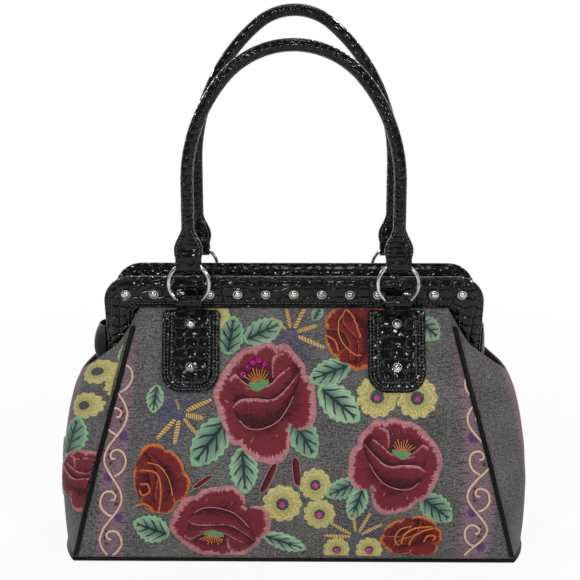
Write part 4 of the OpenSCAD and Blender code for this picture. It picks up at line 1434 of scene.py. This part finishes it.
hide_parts("base_piping")


def meshArea(piece):
    return sum(face.area for face in piece.data.polygons) / 2


for piece, rests in ((frontCloth, "front_band_cover"), (rearCloth, "rear_band_cover")):
    round(meshArea(piece), 4)
for piece in gussets.values():
    round(meshArea(piece), 4)

nodeFinish = {"base_panel": "plain", "base_board": "board", "front_frame_bar": "steel", "rear_frame_bar": "steel",
              "left_hinge_pin": "steel", "right_hinge_pin": "steel"}
for side in ("front", "rear"):
    for name in ("band_studs", "strap_studs", "left_ring", "right_ring"):
        nodeFinish[side + "_" + name] = "nickel"
for name, material in nodeFinish.items():
    target = nodes[name]
    target.data.materials.clear()
    target.data.materials.append(finishes[material])

# studio
studio = {"floor": 0.9, "white": 0.9, "world": 0.33, "room": 0.2, "camera": (0.012, -0.979, 0.453),
          "pitch": 77.5, "turn": 0.6, "lens": 65.7, "shift": (-6 / 580, 5.5 / 580), "aim": (0, 0, 0.22)}


def backdropFinish():
    finish = bpy.data.materials.new("paleFloor")
    finish.use_nodes = True
    tree = finish.node_tree
    shader = tree.nodes["Principled BSDF"]
    shader.inputs["Base Color"].default_value = (studio["floor"],) * 3 + (1,)
    shader.inputs["Roughness"].default_value = 0.9
    path = tree.nodes.new("ShaderNodeLightPath")
    seen = Wire(tree, path.outputs["Is Camera Ray"]) + Wire(tree, path.outputs["Is Glossy Ray"])
    seen = seen + Wire(tree, path.outputs["Is Transmission Ray"])
    glow = tree.nodes.new("ShaderNodeEmission")
    mixed = tree.nodes.new("ShaderNodeMixShader")
    spot = seen.node("ShaderNodeTexCoord", out="Object")
    away = spot.node("ShaderNodeVectorMath", {"operation": "LENGTH"}, {0: spot}, "Value")
    share = seen.lower(1.0) * (away.rise(0.35, 1.3) * (1 - studio["white"]) + studio["white"])
    tree.links.new(share.socket, mixed.inputs[0])
    tree.links.new(shader.outputs[0], mixed.inputs[1])
    tree.links.new(glow.outputs[0], mixed.inputs[2])
    tree.links.new(mixed.outputs[0], tree.nodes["Material Output"].inputs[0])
    return finish


clearSelection()
bpy.ops.mesh.primitive_plane_add(size=12, location=(0, 0, -0.0004))
floor = bpy.context.object
floor.name = "floor"
floor.data.materials.append(backdropFinish())

world = bpy.data.worlds.new("studio")
scene.world = world
world.use_nodes = True
tree = world.node_tree
sky = tree.nodes["Background"]
path = tree.nodes.new("ShaderNodeLightPath")
plain = (Wire(tree, path.outputs["Is Camera Ray"]) + Wire(tree, path.outputs["Is Transmission Ray"])).lower(1.0)
mirrored = Wire(tree, path.outputs["Is Glossy Ray"])
# reflections show the white backdrop behind the bag and a dimmer room in front of it
behind = mirrored.node("ShaderNodeTexCoord", out="Generated").axis(1).rise(-0.1, 0.5)
sky.inputs["Color"].default_value = (1, 1, 1, 1)
level = plain + mirrored * (behind * (1 - studio["room"]) + studio["room"])
level = level + (1 - (plain + mirrored).lower(1.0)) * studio["world"]
tree.links.new(level.socket, sky.inputs["Strength"])

# lamps: name, place, size in metres and power
lamps = [("key", (-0.9, -1.5, 1.6), 0.3, 10), ("fill", (1.3, -1.4, 0.9), 0.24, 5), ("top", (0.1, -0.2, 1.9), 0.5, 5),
         ("flash", (0.05, -1.9, 0.75), 0.16, 4), ("leftSpark", (-0.7, -1.3, 1.1), 0.09, 2.6),
         ("rightSpark", (0.8, -1.2, 1.3), 0.09, 2.6), ("rearKey", (0.8, 1.5, 1.5), 0.3, 10),
         ("rearFill", (-1.2, 1.4, 0.9), 0.24, 5)]
for name, place, size, power in lamps:
    light = bpy.data.lights.new(name, "AREA")
    light.size = size
    light.energy = power
    lamp = bpy.data.objects.new(name, light)
    lamp.location = place
    lamp.rotation_euler = (Vector(studio["aim"]) - Vector(place)).to_track_quat("-Z", "Y").to_euler()
    scene.collection.objects.link(lamp)

view = bpy.data.cameras.new("photo")
view.lens = studio["lens"]
view.sensor_width = 36
view.shift_x, view.shift_y = studio["shift"]
view.dof.use_dof = False
camera = bpy.data.objects.new("photo", view)
camera.location = studio["camera"]
camera.rotation_euler = (math.radians(studio["pitch"]), 0, math.radians(studio["turn"]))
scene.collection.objects.link(camera)
scene.camera = camera
scene.view_settings.view_transform = "Standard"
print("satchel: studio lit")
